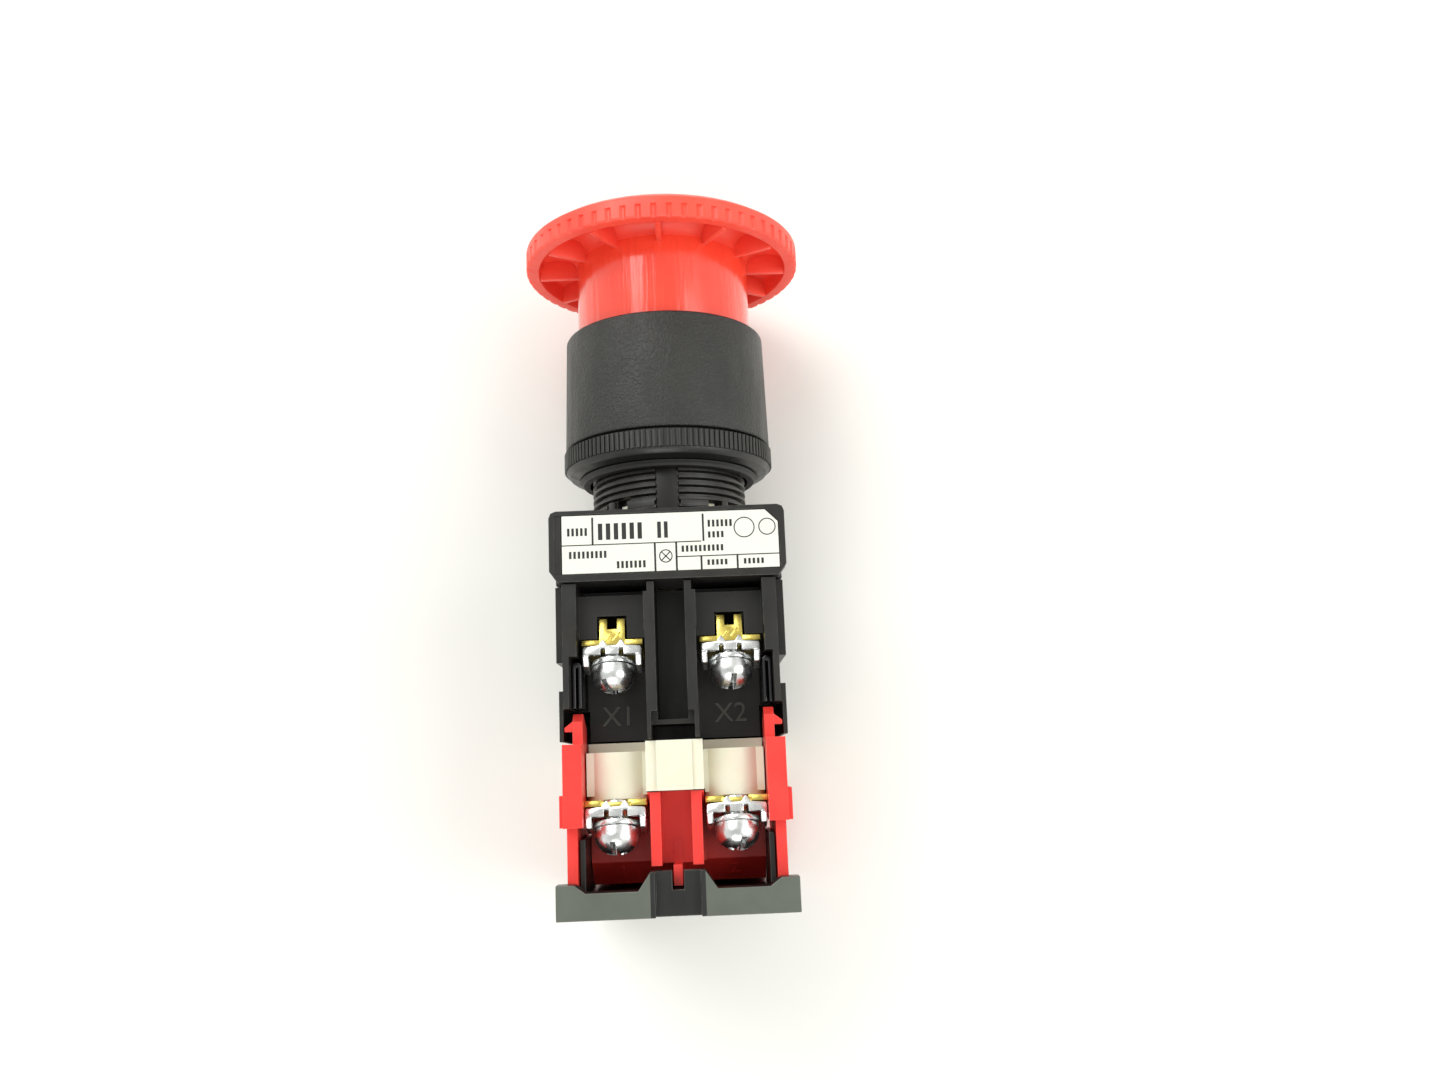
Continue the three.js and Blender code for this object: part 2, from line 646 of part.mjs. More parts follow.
for (const side of SIDES) {
  add(`lock_pin_${sideName(side)}`, lockPin(side), ZINC);
  add(`retaining_tongue_${sideName(side)}`, glossyTongue(side), BLACK_PLASTIC);
  add(`latch_arm_${sideName(side)}`, latchArm(side), RED_PLASTIC);
  addTerminal(side, TERMINAL.lampY, "lamp", true);
  addTerminal(side, TERMINAL.contactY, "contact", false);
}

export default root;
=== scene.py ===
"""The looks of an illuminated mushroom emergency stop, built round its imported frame.

Sizes in this file are millimetres in the frame's own axes: the button's axis is Y, the mushroom faces -Y,
and +Z is the side with the label and the screws. A piece is scaled to metres when it is finished.
"""

import json
import logging
import math
from collections.abc import Iterable, Sequence
from dataclasses import dataclass, field
from enum import Enum

import bmesh
import bpy
from mathutils import Matrix, Vector

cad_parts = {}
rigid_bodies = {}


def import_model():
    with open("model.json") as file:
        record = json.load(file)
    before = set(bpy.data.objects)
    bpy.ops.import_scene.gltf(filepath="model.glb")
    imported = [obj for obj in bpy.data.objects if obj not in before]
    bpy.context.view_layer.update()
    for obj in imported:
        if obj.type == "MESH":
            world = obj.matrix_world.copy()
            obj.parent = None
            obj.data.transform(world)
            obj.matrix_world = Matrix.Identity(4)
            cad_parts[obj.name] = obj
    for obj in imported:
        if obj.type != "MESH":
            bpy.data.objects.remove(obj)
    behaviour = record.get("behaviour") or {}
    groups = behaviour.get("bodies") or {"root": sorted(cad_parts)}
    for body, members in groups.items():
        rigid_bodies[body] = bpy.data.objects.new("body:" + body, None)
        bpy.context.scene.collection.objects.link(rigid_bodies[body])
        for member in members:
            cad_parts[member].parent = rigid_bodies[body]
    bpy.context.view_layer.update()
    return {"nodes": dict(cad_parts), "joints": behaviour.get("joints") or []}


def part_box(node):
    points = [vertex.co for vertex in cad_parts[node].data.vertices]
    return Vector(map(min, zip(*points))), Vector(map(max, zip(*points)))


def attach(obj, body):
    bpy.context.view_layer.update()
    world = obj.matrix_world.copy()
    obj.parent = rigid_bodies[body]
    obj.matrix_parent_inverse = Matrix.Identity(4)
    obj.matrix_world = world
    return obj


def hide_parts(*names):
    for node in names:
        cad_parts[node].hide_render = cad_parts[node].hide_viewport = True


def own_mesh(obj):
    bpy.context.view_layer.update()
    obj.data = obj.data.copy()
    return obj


for leftover in list(bpy.data.objects):
    bpy.data.objects.remove(leftover)
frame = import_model()

log = logging.getLogger("emergency_stop")

MM = 0.001
TURN = 2 * math.pi
SIDES = {"left": 1.0, "right": -1.0}
Pair = tuple[float, float]
Colour = tuple[float, float, float]


# ---------------------------------------------------------------- shader graphs


@dataclass(frozen=True)
class Wire:
    """A node's output, with arithmetic that adds Math nodes."""

    graph: "Graph"
    socket: bpy.types.NodeSocket

    def math(self, operation: str, *values: "Wire | float") -> "Wire":
        """One Math node with this wire as its first value."""
        inputs = dict(enumerate((self, *values)))
        return self.graph.add("ShaderNodeMath", {"operation": operation}, inputs)

    def __add__(self, value: "Wire | float") -> "Wire":
        """self + value."""
        return self.math("ADD", value)

    __radd__ = __add__

    def __sub__(self, value: "Wire | float") -> "Wire":
        """self - value."""
        return self.math("SUBTRACT", value)

    def __rsub__(self, value: float) -> "Wire":
        """value - self."""
        return (self * -1.0) + value

    def __mul__(self, value: "Wire | float") -> "Wire":
        """self * value."""
        return self.math("MULTIPLY", value)

    __rmul__ = __mul__

    def within(self, low: float, high: float) -> "Wire":
        """0 below low, 1 above high, and smooth between them.

        Args:
            low: where the range starts.
            high: where the range ends.

        Returns:
            The place in the range, 0 to 1.
        """
        settings = {"interpolation_type": "SMOOTHSTEP"}
        inputs = {"Value": self, "From Min": low, "From Max": high}
        return self.graph.add("ShaderNodeMapRange", settings, inputs)


class Graph:
    """The node tree of one material."""

    def __init__(self, name: str) -> None:
        """Starts an empty material of that name.

        Args:
            name: the material's name.
        """
        self.material = bpy.data.materials.new(name)
        self.material.use_nodes = True
        self.tree = self.material.node_tree
        self.tree.nodes.clear()

    def add(
        self,
        kind: str,
        settings: dict[str, object] | None = None,
        inputs: dict[int | str, object] | None = None,
        output: int | str = 0,
    ) -> Wire:
        """Adds a node.

        Args:
            kind: the node's type.
            settings: its properties, set before its sockets.
            inputs: a value or a Wire for each socket that is used.
            output: the output to return.

        Returns:
            The chosen output.
        """
        node = self.tree.nodes.new(kind)
        for name, value in (settings or {}).items():
            setattr(node, name, value)
        for key, value in (inputs or {}).items():
            if isinstance(value, Wire):
                self.tree.links.new(value.socket, node.inputs[key])
            else:
                node.inputs[key].default_value = value
        return Wire(self, node.outputs[output])

    def millimetres(self) -> Wire:
        """Object coordinates in millimetres."""
        coordinates = self.add("ShaderNodeTexCoord", output="Object")
        return self.add("ShaderNodeVectorMath", {"operation": "SCALE"}, {0: coordinates, "Scale": 1 / MM})

    def stretched(self, place: Wire, scale: tuple[float, float, float]) -> Wire:
        """Coordinates scaled by a different number along each axis."""
        return self.add("ShaderNodeVectorMath", {"operation": "MULTIPLY"}, {0: place, 1: scale})

    def noise(self, place: Wire, scale: float, detail: float = 2.0, roughness: float = 0.5) -> Wire:
        """Fractal noise, 0 to 1, with that many waves a millimetre."""
        inputs = {"Vector": place, "Scale": scale, "Detail": detail, "Roughness": roughness}
        return self.add("ShaderNodeTexNoise", None, inputs, "Fac")

    def cells(self, place: Wire, scale: float, feature: str = "F1") -> Wire:
        """Distance within the cells of a Voronoi pattern."""
        inputs = {"Vector": place, "Scale": scale}
        return self.add("ShaderNodeTexVoronoi", {"feature": feature}, inputs, "Distance")

    def blend(self, share: Wire | float, first: Wire | Colour, second: Wire | Colour) -> Wire:
        """Mixes two colours.

        Args:
            share: 0 for the first colour, 1 for the second.
            first: a colour or a wire.
            second: a colour or a wire.

        Returns:
            The mixed colour.
        """
        ends = [value if isinstance(value, Wire) else (*value, 1.0) for value in (first, second)]
        inputs = {"Factor": share, 6: ends[0], 7: ends[1]}
        return self.add("ShaderNodeMix", {"data_type": "RGBA", "clamp_factor": True}, inputs, 2)

    def bump(self, height: Wire, depth: float, under: Wire | None = None) -> Wire:
        """A normal that follows height, with its full depth in millimetres.

        Args:
            height: the height, about 0 to 1.
            depth: the full depth.
            under: the normal that it is laid on.

        Returns:
            The normal.
        """
        inputs: dict[int | str, object] = {"Height": height, "Strength": 1.0, "Distance": depth * MM}
        if under is not None:
            inputs["Normal"] = under
        return self.add("ShaderNodeBump", None, inputs, "Normal")

    def edges(self, radius: float) -> Wire:
        """About 1 on edges and corners, and 0 on open surfaces.

        Args:
            radius: how far from an edge the mask reaches, in millimetres.

        Returns:
            The mask.
        """
        rounded = self.add("ShaderNodeBevel", {"samples": 4}, {"Radius": radius * MM})
        flat = self.add("ShaderNodeNewGeometry", output="Normal")
        dot = self.add("ShaderNodeVectorMath", {"operation": "DOT_PRODUCT"}, {0: rounded, 1: flat}, "Value")
        return (1.0 - dot).within(0.01, 0.16)

    def surface(self, inputs: dict[int | str, object]) -> bpy.types.Material:
        """Ends the graph in a Principled shader and returns the material.

        Args:
            inputs: the shader's sockets.

        Returns:
            The material.
        """
        shader = self.add("ShaderNodeBsdfPrincipled", None, inputs)
        self.add_output(shader)
        return self.material

    def add_output(self, shader: Wire) -> None:
        """Joins a shader to the material's output."""
        end = self.tree.nodes.new("ShaderNodeOutputMaterial")
        self.tree.links.new(shader.socket, end.inputs["Surface"])


# ---------------------------------------------------------------- finishes


class Grain(Enum):
    """The texture that a mould leaves on plastic: (waves a millimetre, depth in millimetres)."""

    POLISHED = (0.5, 0.004)
    SATIN = (7.0, 0.006)
    SPARKED = (4.5, 0.014)
    LEATHER = (2.8, 0.075)

    def height(self, graph: Graph, place: Wire) -> Wire:
        """The height of the texture, about 0 to 1.

        Args:
            graph: the material's graph.
            place: the coordinates that it is worked out at.

        Returns:
            The height.
        """
        waves = self.value[0]
        if self is Grain.LEATHER:
            shift = graph.add("ShaderNodeTexNoise", None, {"Vector": place, "Scale": waves * 0.8}, "Color")
            bent = graph.add("ShaderNodeVectorMath", {"operation": "ADD"}, {0: place, 1: shift})
            pebbles = graph.cells(bent, waves, "SMOOTH_F1")
            return (1.0 - pebbles.within(0.05, 0.75)) * 0.8 + graph.noise(place, waves * 5) * 0.25
        return graph.noise(place, waves, 4.0, 0.6)


@dataclass(frozen=True)
class Plastic:
    """A moulded plastic: two close tones, a mould grain, and a painted highlight: a lighter colour in patches
    on its edges.
    """

    name: str
    slot: str
    colour: Colour
    tone: Colour
    roughness: float
    grain: Grain
    coat: float = 0.0
    edge_highlight: Colour | None = None
    edge_highlight_share: float = 0.35
    glow: float = 0.0
    streaks: float = 0.0

    def material(self) -> bpy.types.Material:
        """Builds the node tree.

        Returns:
            The material.
        """
        graph = Graph(self.name)
        place = graph.millimetres()
        clouds = graph.noise(place, 0.16, 4.0, 0.55)
        colour = graph.blend(clouds.within(0.3, 0.7), self.colour, self.tone)
        smears = graph.noise(graph.stretched(place, (0.5, 0.12, 0.5)), 1.0, 3.0)
        roughness = smears.within(0.3, 0.75) * (0.3 * self.roughness) + 0.85 * self.roughness
        # Painted highlight: the edges get a lighter colour in patches, standing in for light caught on their
        # rounding.
        if self.edge_highlight is not None:
            painted_highlight = graph.edges(0.22) * graph.noise(place, 0.9, 3.0).within(0.35, 0.6) * self.edge_highlight_share
            colour = graph.blend(painted_highlight, colour, self.edge_highlight)
        normal = graph.bump(self.grain.height(graph, place), self.grain.value[1])
        if self.streaks:
            waves = graph.noise(graph.stretched(place, (1.0, 0.05, 1.0)), 1.1, 3.0)
            normal = graph.bump(waves, self.streaks, normal)
        inputs: dict[int | str, object] = {
            "Base Color": colour,
            "Roughness": roughness,
            "Normal": normal,
            "Coat Weight": self.coat,
            "Coat Roughness": 0.08,
        }
        if self.glow:
            inputs["Subsurface Weight"] = self.glow
            inputs["Subsurface Radius"] = (1.0, 0.2, 0.1)
            inputs["Subsurface Scale"] = 1.5 * MM
        return graph.surface(inputs)


@dataclass(frozen=True)
class Metal:
    """A bright metal with fine scratches, and spots where its plating has dulled."""

    name: str
    slot: str
    colour: Colour
    dulled: Colour
    roughness: float
    scratches: float = 0.004
    dents: float = 0.02

    def material(self) -> bpy.types.Material:
        """Builds the node tree.

        Returns:
            The material.
        """
        graph = Graph(self.name)
        place = graph.millimetres()
        spots = graph.noise(place, 0.7, 5.0, 0.6).within(0.48, 0.68)
        colour = graph.blend(spots * 0.7, self.colour, self.dulled)
        roughness = spots * 0.16 + self.roughness
        lines = graph.noise(graph.stretched(place, (9.0, 0.6, 1.5)), 1.0, 4.0)
        normal = graph.bump(lines, self.scratches, graph.bump(graph.noise(place, 0.9), self.dents))
        inputs = {"Base Color": colour, "Roughness": roughness, "Metallic": 1.0, "Normal": normal}
        return graph.surface(inputs)


@dataclass(frozen=True)
class Film:
    """A printed film or a soft rubber: even, with faint blotches and a very fine tooth."""

    name: str
    slot: str
    colour: Colour
    tone: Colour
    roughness: float
    tooth: float = 0.004

    def material(self) -> bpy.types.Material:
        """Builds the node tree.

        Returns:
            The material.
        """
        graph = Graph(self.name)
        place = graph.millimetres()
        blotches = graph.noise(place, 0.35, 4.0, 0.6)
        colour = graph.blend(blotches.within(0.45, 0.75), self.colour, self.tone)
        roughness = blotches * 0.1 + (self.roughness - 0.05)
        normal = graph.bump(graph.noise(place, 6.0, 3.0), self.tooth)
        return graph.surface({"Base Color": colour, "Roughness": roughness, "Normal": normal})


# The lighter edge colours below are painted highlights on the edges of each plastic.
FINISHES: dict[str, Plastic | Metal | Film] = {
    "red_head": Plastic(
        "red_head",
        "red_cap",
        (0.90, 0.085, 0.050),
        (0.86, 0.070, 0.042),
        0.44,
        Grain.POLISHED,
        glow=0.12,
    ),
    "red_sleeve": Plastic(
        "red_sleeve",
        "red_cap",
        (0.88, 0.070, 0.036),
        (0.84, 0.058, 0.030),
        0.16,
        Grain.POLISHED,
        0.6,
        streaks=0.20,
    ),
    "red_moulding": Plastic(
        "red_moulding",
        "red_plastic",
        (0.80, 0.046, 0.036),
        (0.74, 0.036, 0.028),
        0.38,
        Grain.SATIN,
        edge_highlight=(0.86, 0.16, 0.12),
        glow=0.10,
    ),
    "leather_black": Plastic(
        "leather_black", "black_grain", (0.017, 0.018, 0.015), (0.012, 0.013, 0.011), 0.44, Grain.LEATHER
    ),
    "ring_black": Plastic(
        "ring_black", "black_ring", (0.018, 0.019, 0.016), (0.013, 0.013, 0.012), 0.40, Grain.SPARKED
    ),
    "body_black": Plastic(
        "body_black",
        "black_plastic",
        (0.015, 0.014, 0.012),
        (0.010, 0.010, 0.009),
        0.40,
        Grain.SATIN,
        edge_highlight=(0.12, 0.12, 0.10),
    ),
    "cover_black": Plastic(
        "cover_black",
        "black_plastic",
        (0.016, 0.017, 0.015),
        (0.012, 0.013, 0.011),
        0.34,
        Grain.SATIN,
        edge_highlight=(0.12, 0.12, 0.11),
    ),
    # A lighter grey of the black plastic: a painted reflection on the cover's lips and a painted highlight on
    # the lamp unit's raised marks.
    "painted_sheen_grey": Plastic(
        "painted_sheen_grey",
        "black_plastic",
        (0.105, 0.118, 0.098),
        (0.088, 0.099, 0.082),
        0.34,
        Grain.SATIN,
        edge_highlight=(0.22, 0.23, 0.20),
    ),
    "gloss_black": Plastic(
        "gloss_black", "gloss_black", (0.010, 0.010, 0.012), (0.014, 0.014, 0.016), 0.12, Grain.POLISHED, 0.5
    ),
    "ivory": Plastic(
        "ivory",
        "ivory",
        (0.74, 0.72, 0.585),
        (0.70, 0.675, 0.530),
        0.42,
        Grain.SATIN,
        edge_highlight=(0.88, 0.87, 0.78),
        glow=0.15,
    ),
    "lens": Plastic(
        "lens",
        "lens",
        (0.90, 0.90, 0.86),
        (0.86, 0.86, 0.80),
        0.18,
        Grain.POLISHED,
        0.3,
        glow=0.4,
    ),
    "label_white": Film("label_white", "label_white", (0.70, 0.715, 0.65), (0.67, 0.685, 0.62), 0.45),
    "label_ink": Film("label_ink", "label_white", (0.012, 0.012, 0.012), (0.02, 0.02, 0.02), 0.5),
    "rubber": Film("rubber", "rubber", (0.018, 0.018, 0.017), (0.026, 0.026, 0.025), 0.62, 0.02),
    "brass": Metal("brass", "brass", (0.82, 0.66, 0.16), (0.52, 0.42, 0.12), 0.26),
    "zinc": Metal("zinc", "zinc", (0.84, 0.86, 0.86), (0.66, 0.67, 0.64), 0.25),
    "spring_wire": Metal("spring_wire", "spring_steel", (0.60, 0.60, 0.60), (0.42, 0.42, 0.41), 0.28),
}


class Paintbox:
    """Makes each finish's material once."""

    def __init__(self) -> None:
        """Starts with nothing mixed."""
        self.mixed: dict[str, bpy.types.Material] = {}

    def material(self, name: str) -> bpy.types.Material:
        """The material of that finish.

        Args:
            name: the finish's name in FINISHES.

        Returns:
            Its material.
        """
        if name not in self.mixed:
            self.mixed[name] = FINISHES[name].material()
        return self.mixed[name]


PAINT = Paintbox()


# ---------------------------------------------------------------- mesh work


class Axis(Enum):
    """The direction that an outline is given its thickness in, and the two directions of its points."""

    X = (1, 2, 0)
    Y = (0, 2, 1)
    Z = (0, 1, 2)

    def point(self, pair: Pair, along: float) -> Vector:
        """The point of an outline at that place along the axis.

        Args:
            pair: the point of the outline.
            along: its place along the axis.

        Returns:
            The point in space.
        """
        found = Vector((0.0, 0.0, 0.0))
        first, second, third = self.value
        found[first], found[second], found[third] = pair[0], pair[1], along
        return found


def filleted(corners: Sequence[tuple[float, ...]], closed: bool = True, segments: int = 5) -> list[Pair]:
    """Rounds the corners of an outline.

    Args:
        corners: (a, b) for a sharp corner and (a, b, radius) for a round one.
        closed: whether the last corner is joined to the first.
        segments: the steps in each rounding.

    Returns:
        The points of the outline.
    """
    found: list[Pair] = []
    for i, corner in enumerate(corners):
        here = Vector(corner[:2])
        radius = corner[2] if len(corner) > 2 else 0.0
        if not radius or (not closed and i in (0, len(corners) - 1)):
            found.append((here.x, here.y))
            continue
        back = (Vector(corners[i - 1][:2]) - here).normalized()
        ahead = (Vector(corners[(i + 1) % len(corners)][:2]) - here).normalized()
        half = back.angle(ahead) / 2
        middle = here + (back + ahead).normalized() * (radius / math.sin(half))
        first = here + back * (radius / math.tan(half)) - middle
        sweep = first.angle_signed(here + ahead * (radius / math.tan(half)) - middle)
        for step in range(segments + 1):
            point = middle + Matrix.Rotation(-sweep * step / segments, 2) @ first
            found.append((point.x, point.y))
    return found


def extent(node: str) -> tuple[Vector, Vector]:
    """The lowest and highest corner of a frame node, in millimetres."""
    low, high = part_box(node)
    return low / MM, high / MM


def onside(side: float, low: float, high: float) -> Pair:
    """The same range of X on the left (1) or the right (-1)."""
    return (low, high) if side > 0 else (-high, -low)


class Blank:
    def __init__(self) -> None:
        """Starts with no metal or plastic at all."""
        self.mesh = bmesh.new()

    @classmethod
    def from_node(cls, name: str) -> "Blank":
        """A copy of a frame node, merged into whole faces.

        Args:
            name: the frame node.

        Returns:
            The copy, in millimetres.
        """
        blank = cls()
        blank.mesh.from_mesh(frame["nodes"][name].data)
        bmesh.ops.scale(blank.mesh, vec=(1 / MM,) * 3, verts=blank.mesh.verts)
        bmesh.ops.remove_doubles(blank.mesh, verts=blank.mesh.verts, dist=0.02)
        bmesh.ops.dissolve_limit(
            blank.mesh,
            angle_limit=math.radians(1.5),
            use_dissolve_boundaries=False,
            verts=blank.mesh.verts,
            edges=blank.mesh.edges,
        )
        return blank

    def soften(self, edges: Iterable[bmesh.types.BMEdge], width: float, segments: int = 2) -> None:
        """Rounds those edges that are sharp.

        Args:
            edges: the edges to look through.
            width: the width of the rounding.
            segments: its steps.
        """
        sharp = [e for e in edges if e.is_valid and e.calc_face_angle(0.0) > math.radians(25)]
        bmesh.ops.bevel(
            self.mesh,
            geom=sharp,
            offset=width,
            offset_type="OFFSET",
            segments=segments,
            profile=0.5,
            affect="EDGES",
            clamp_overlap=True,
            material=-1,
        )

    def box(self, x: Pair, y: Pair, z: Pair, soft: float = 0.0, place: Matrix | None = None) -> None:
        """Adds a box.

        Args:
            x: its range in X.
            y: its range in Y.
            z: its range in Z.
            soft: the rounding of its edges.
            place: where it goes, if it isn't where its ranges say.
        """
        ranges = (x, y, z)
        middle = Vector([(a + b) / 2 for a, b in ranges])
        size = Matrix.Diagonal([abs(b - a) for a, b in ranges]).to_4x4()
        where = (place or Matrix()) @ Matrix.Translation(middle) @ size
        verts = bmesh.ops.create_cube(self.mesh, size=1.0, matrix=where)["verts"]
        if soft:
            self.soften({e for v in verts for e in v.link_edges}, soft)

    def prism(
        self,
        outline: Sequence[Pair],
        axis: Axis,
        span: Pair,
        soft: float = 0.0,
        place: Matrix | None = None,
    ) -> None:
        """Adds an outline with a thickness.

        Args:
            outline: its points, in the two directions that the axis gives.
            axis: the direction of its thickness.
            span: its range in that direction.
            soft: the rounding of its edges.
            place: where it goes, if it isn't where its numbers say.
        """
        where = place or Matrix()
        verts = [self.mesh.verts.new(where @ axis.point(pair, span[0])) for pair in outline]
        face = self.mesh.faces.new(verts)
        grown = bmesh.ops.extrude_face_region(self.mesh, geom=[face])["geom"]
        raised = [g for g in grown if isinstance(g, bmesh.types.BMVert)]
        rise = where.to_3x3() @ (axis.point((0.0, 0.0), span[1]) - axis.point((0.0, 0.0), span[0]))
        bmesh.ops.translate(self.mesh, vec=rise, verts=raised)
        if soft:
            self.soften({e for v in verts + raised for e in v.link_edges}, soft)

    def turned(
        self,
        outline: Sequence[Pair],
        steps: int,
        closed: bool = True,
        place: Matrix | None = None,
    ) -> None:
        """Adds a solid turned about the Y axis.

        Args:
            outline: (radius, y) points, from the axis to the axis or all round a section.
            steps: the facets round it.
            closed: whether the outline is a section that doesn't touch the axis.
            place: where it goes, if it isn't about the button's axis.
        """
        verts = [self.mesh.verts.new((0.0, y, radius)) for radius, y in outline]
        pairs = list(zip(verts, verts[1:] + (verts[:1] if closed else [])))
        edges = [self.mesh.edges.new(pair) for pair in pairs if pair[0] is not pair[1]]
        if not closed:
            edges = edges[: len(verts) - 1]
        before = set(self.mesh.verts) - set(verts)
        bmesh.ops.spin(
            self.mesh,
            geom=verts + edges,
            cent=(0.0, 0.0, 0.0),
            axis=(0.0, 1.0, 0.0),
            dvec=(0.0, 0.0, 0.0),
            angle=TURN,
            steps=steps,
            use_merge=True,
        )
        made = [v for v in self.mesh.verts if v not in before]
        bmesh.ops.remove_doubles(self.mesh, verts=made, dist=0.0005)
        if place is not None:
            made = [v for v in self.mesh.verts if v not in before]
            bmesh.ops.transform(self.mesh, matrix=place, verts=made)

    def coiled(
        self,
        section: Sequence[Pair],
        start: float,
        sweep: float,
        steps: int,
        pitch: float = 0.0,
        place: Matrix | None = None,
    ) -> None:
        """Adds a section carried part of a turn, or many turns, about the Y axis.

        Args:
            section: (radius, y) points all round it.
            start: the angle that it starts at, from +Z towards +X, in degrees.
            sweep: how far it is carried, in degrees.
            steps: the steps on the way.
            pitch: how far it moves along the axis in one turn.
            place: where it goes, if it isn't about the button's axis.
        """
        turn = Matrix.Rotation(math.radians(start), 4, "Y")
        verts = [self.mesh.verts.new(turn @ Vector((0.0, y, radius))) for radius, y in section]
        before = set(self.mesh.verts) - set(verts)
        face = self.mesh.faces.new(verts)
        bmesh.ops.spin(
            self.mesh,
            geom=[face, *face.edges, *verts],
            cent=(0.0, 0.0, 0.0),
            axis=(0.0, 1.0, 0.0),
            dvec=(0.0, pitch * sweep / 360 / steps, 0.0),
            angle=math.radians(sweep),
            steps=steps,
            use_merge=False,
        )
        if place is not None:
            made = [v for v in self.mesh.verts if v not in before]
            bmesh.ops.transform(self.mesh, matrix=place, verts=made)

    def lettering(self, text: str, height: float, depth: float, place: Matrix) -> None:
        """Adds raised characters.

        Args:
            text: the characters.
            height: how tall they are.
            depth: how far they stand up.
            place: the middle of their foot, with X along the line and Z out of the surface.
        """
        curve = bpy.data.curves.new("characters", "FONT")
        curve.body = text
        curve.align_x, curve.align_y = "CENTER", "CENTER"
        curve.size = height * 1.38
        curve.extrude = depth / 2
        curve.resolution_u = 4
        written = bpy.data.objects.new("characters", curve)
        mesh = bpy.data.meshes.new_from_object(written)
        before = set(self.mesh.verts)
        self.mesh.from_mesh(mesh)
        made = [v for v in self.mesh.verts if v not in before]
        bmesh.ops.remove_doubles(self.mesh, verts=made, dist=0.001)
        made = [v for v in self.mesh.verts if v not in before]
        bmesh.ops.transform(self.mesh, matrix=place, verts=made)
        bpy.data.objects.remove(written)
        bpy.data.curves.remove(curve)
        bpy.data.meshes.remove(mesh)

    def push(self, faces: list[bmesh.types.BMFace], radius: float) -> list[bmesh.types.BMVert]:
        """Moves faces of a turned shape straight out or in.

        Args:
            faces: the faces, which become the top of a block or the floor of a groove.
            radius: how far from the Y axis they end.

        Returns:
            The corners of the moved faces.
        """
        grown = bmesh.ops.extrude_face_region(self.mesh, geom=faces)["geom"]
        bmesh.ops.delete(self.mesh, geom=faces, context="FACES_ONLY")
        moved = [g for g in grown if isinstance(g, bmesh.types.BMVert)]
        for vert in moved:
            scale = radius / math.hypot(vert.co.x, vert.co.z)
            vert.co.x *= scale
            vert.co.z *= scale
        return moved

    def carve(self, cutter: "Blank") -> None:
        """Cuts another blank out of this one.

        Args:
            cutter: the shape that is taken away, which this ends.
        """
        tool = cutter.loose("cutter")
        body = self.loose("body")
        cut = body.modifiers.new("cut", "BOOLEAN")
        cut.operation, cut.solver, cut.object = "DIFFERENCE", "EXACT", tool
        bpy.context.view_layer.update()
        whole = bpy.data.meshes.new_from_object(body.evaluated_get(bpy.context.evaluated_depsgraph_get()))
        self.mesh = bmesh.new()
        self.mesh.from_mesh(whole)
        for spent in (body, tool):
            mesh = spent.data
            bpy.data.objects.remove(spent)
            bpy.data.meshes.remove(mesh)
        bpy.data.meshes.remove(whole)

    def loose(self, name: str) -> bpy.types.Object:
        """This blank as an object of its own, which ends the blank.

        Args:
            name: the object's name.

        Returns:
            The object.
        """
        bmesh.ops.recalc_face_normals(self.mesh, faces=self.mesh.faces)
        mesh = bpy.data.meshes.new(name)
        self.mesh.to_mesh(mesh)
        self.mesh.free()
        found = bpy.data.objects.new(name, mesh)
        bpy.context.scene.collection.objects.link(found)
        return found

    def finish(
        self,
        name: str,
        finish: str,
        body: str,
        nodes: Sequence[str] = (),
        edge: float = 0.0,
        smooth: float = 32.0,
    ) -> bpy.types.Object:
        """Turns the blank into a piece of the object.

        Args:
            name: the piece's name.
            finish: its finish.
            body: the body that it moves with.
            nodes: the frame nodes that it stands for.
            edge: the rounding that is left on every sharp edge.
            smooth: the angle, in degrees, past which an edge is a crease.

        Returns:
            The piece.
        """
        bmesh.ops.scale(self.mesh, vec=(MM,) * 3, verts=self.mesh.verts)
        piece = self.loose(name)
        piece.data.polygons.foreach_set("use_smooth", [True] * len(piece.data.polygons))
        piece.data.set_sharp_from_angle(angle=math.radians(smooth))
        piece.data.materials.append(PAINT.material(finish))
        if edge:
            rounding = piece.modifiers.new("edges", "BEVEL")
            rounding.width, rounding.segments = edge * MM, 2
            rounding.limit_method, rounding.angle_limit = "ANGLE", math.radians(30)
            rounding.use_clamp_overlap = True
            flatten = piece.modifiers.new("flat faces", "WEIGHTED_NORMAL")
            flatten.keep_sharp = True
        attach(piece, body)
        if nodes:
            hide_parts(*nodes)
        log.info("%s rides on %s: %d faces, %s", name, body, len(piece.data.polygons), finish)
        return piece


def dress(node: str, finish: str) -> None:
    """Gives a frame node that stays as it is a finish in all its material slots.

    Args:
        node: the frame node.
        finish: its finish.
    """
    shown = frame["nodes"][node]
    shown.data.materials.clear()
    shown.data.materials.append(PAINT.material(finish))
    log.info("%s stays, %s", node, finish)


# ---------------------------------------------------------------- front


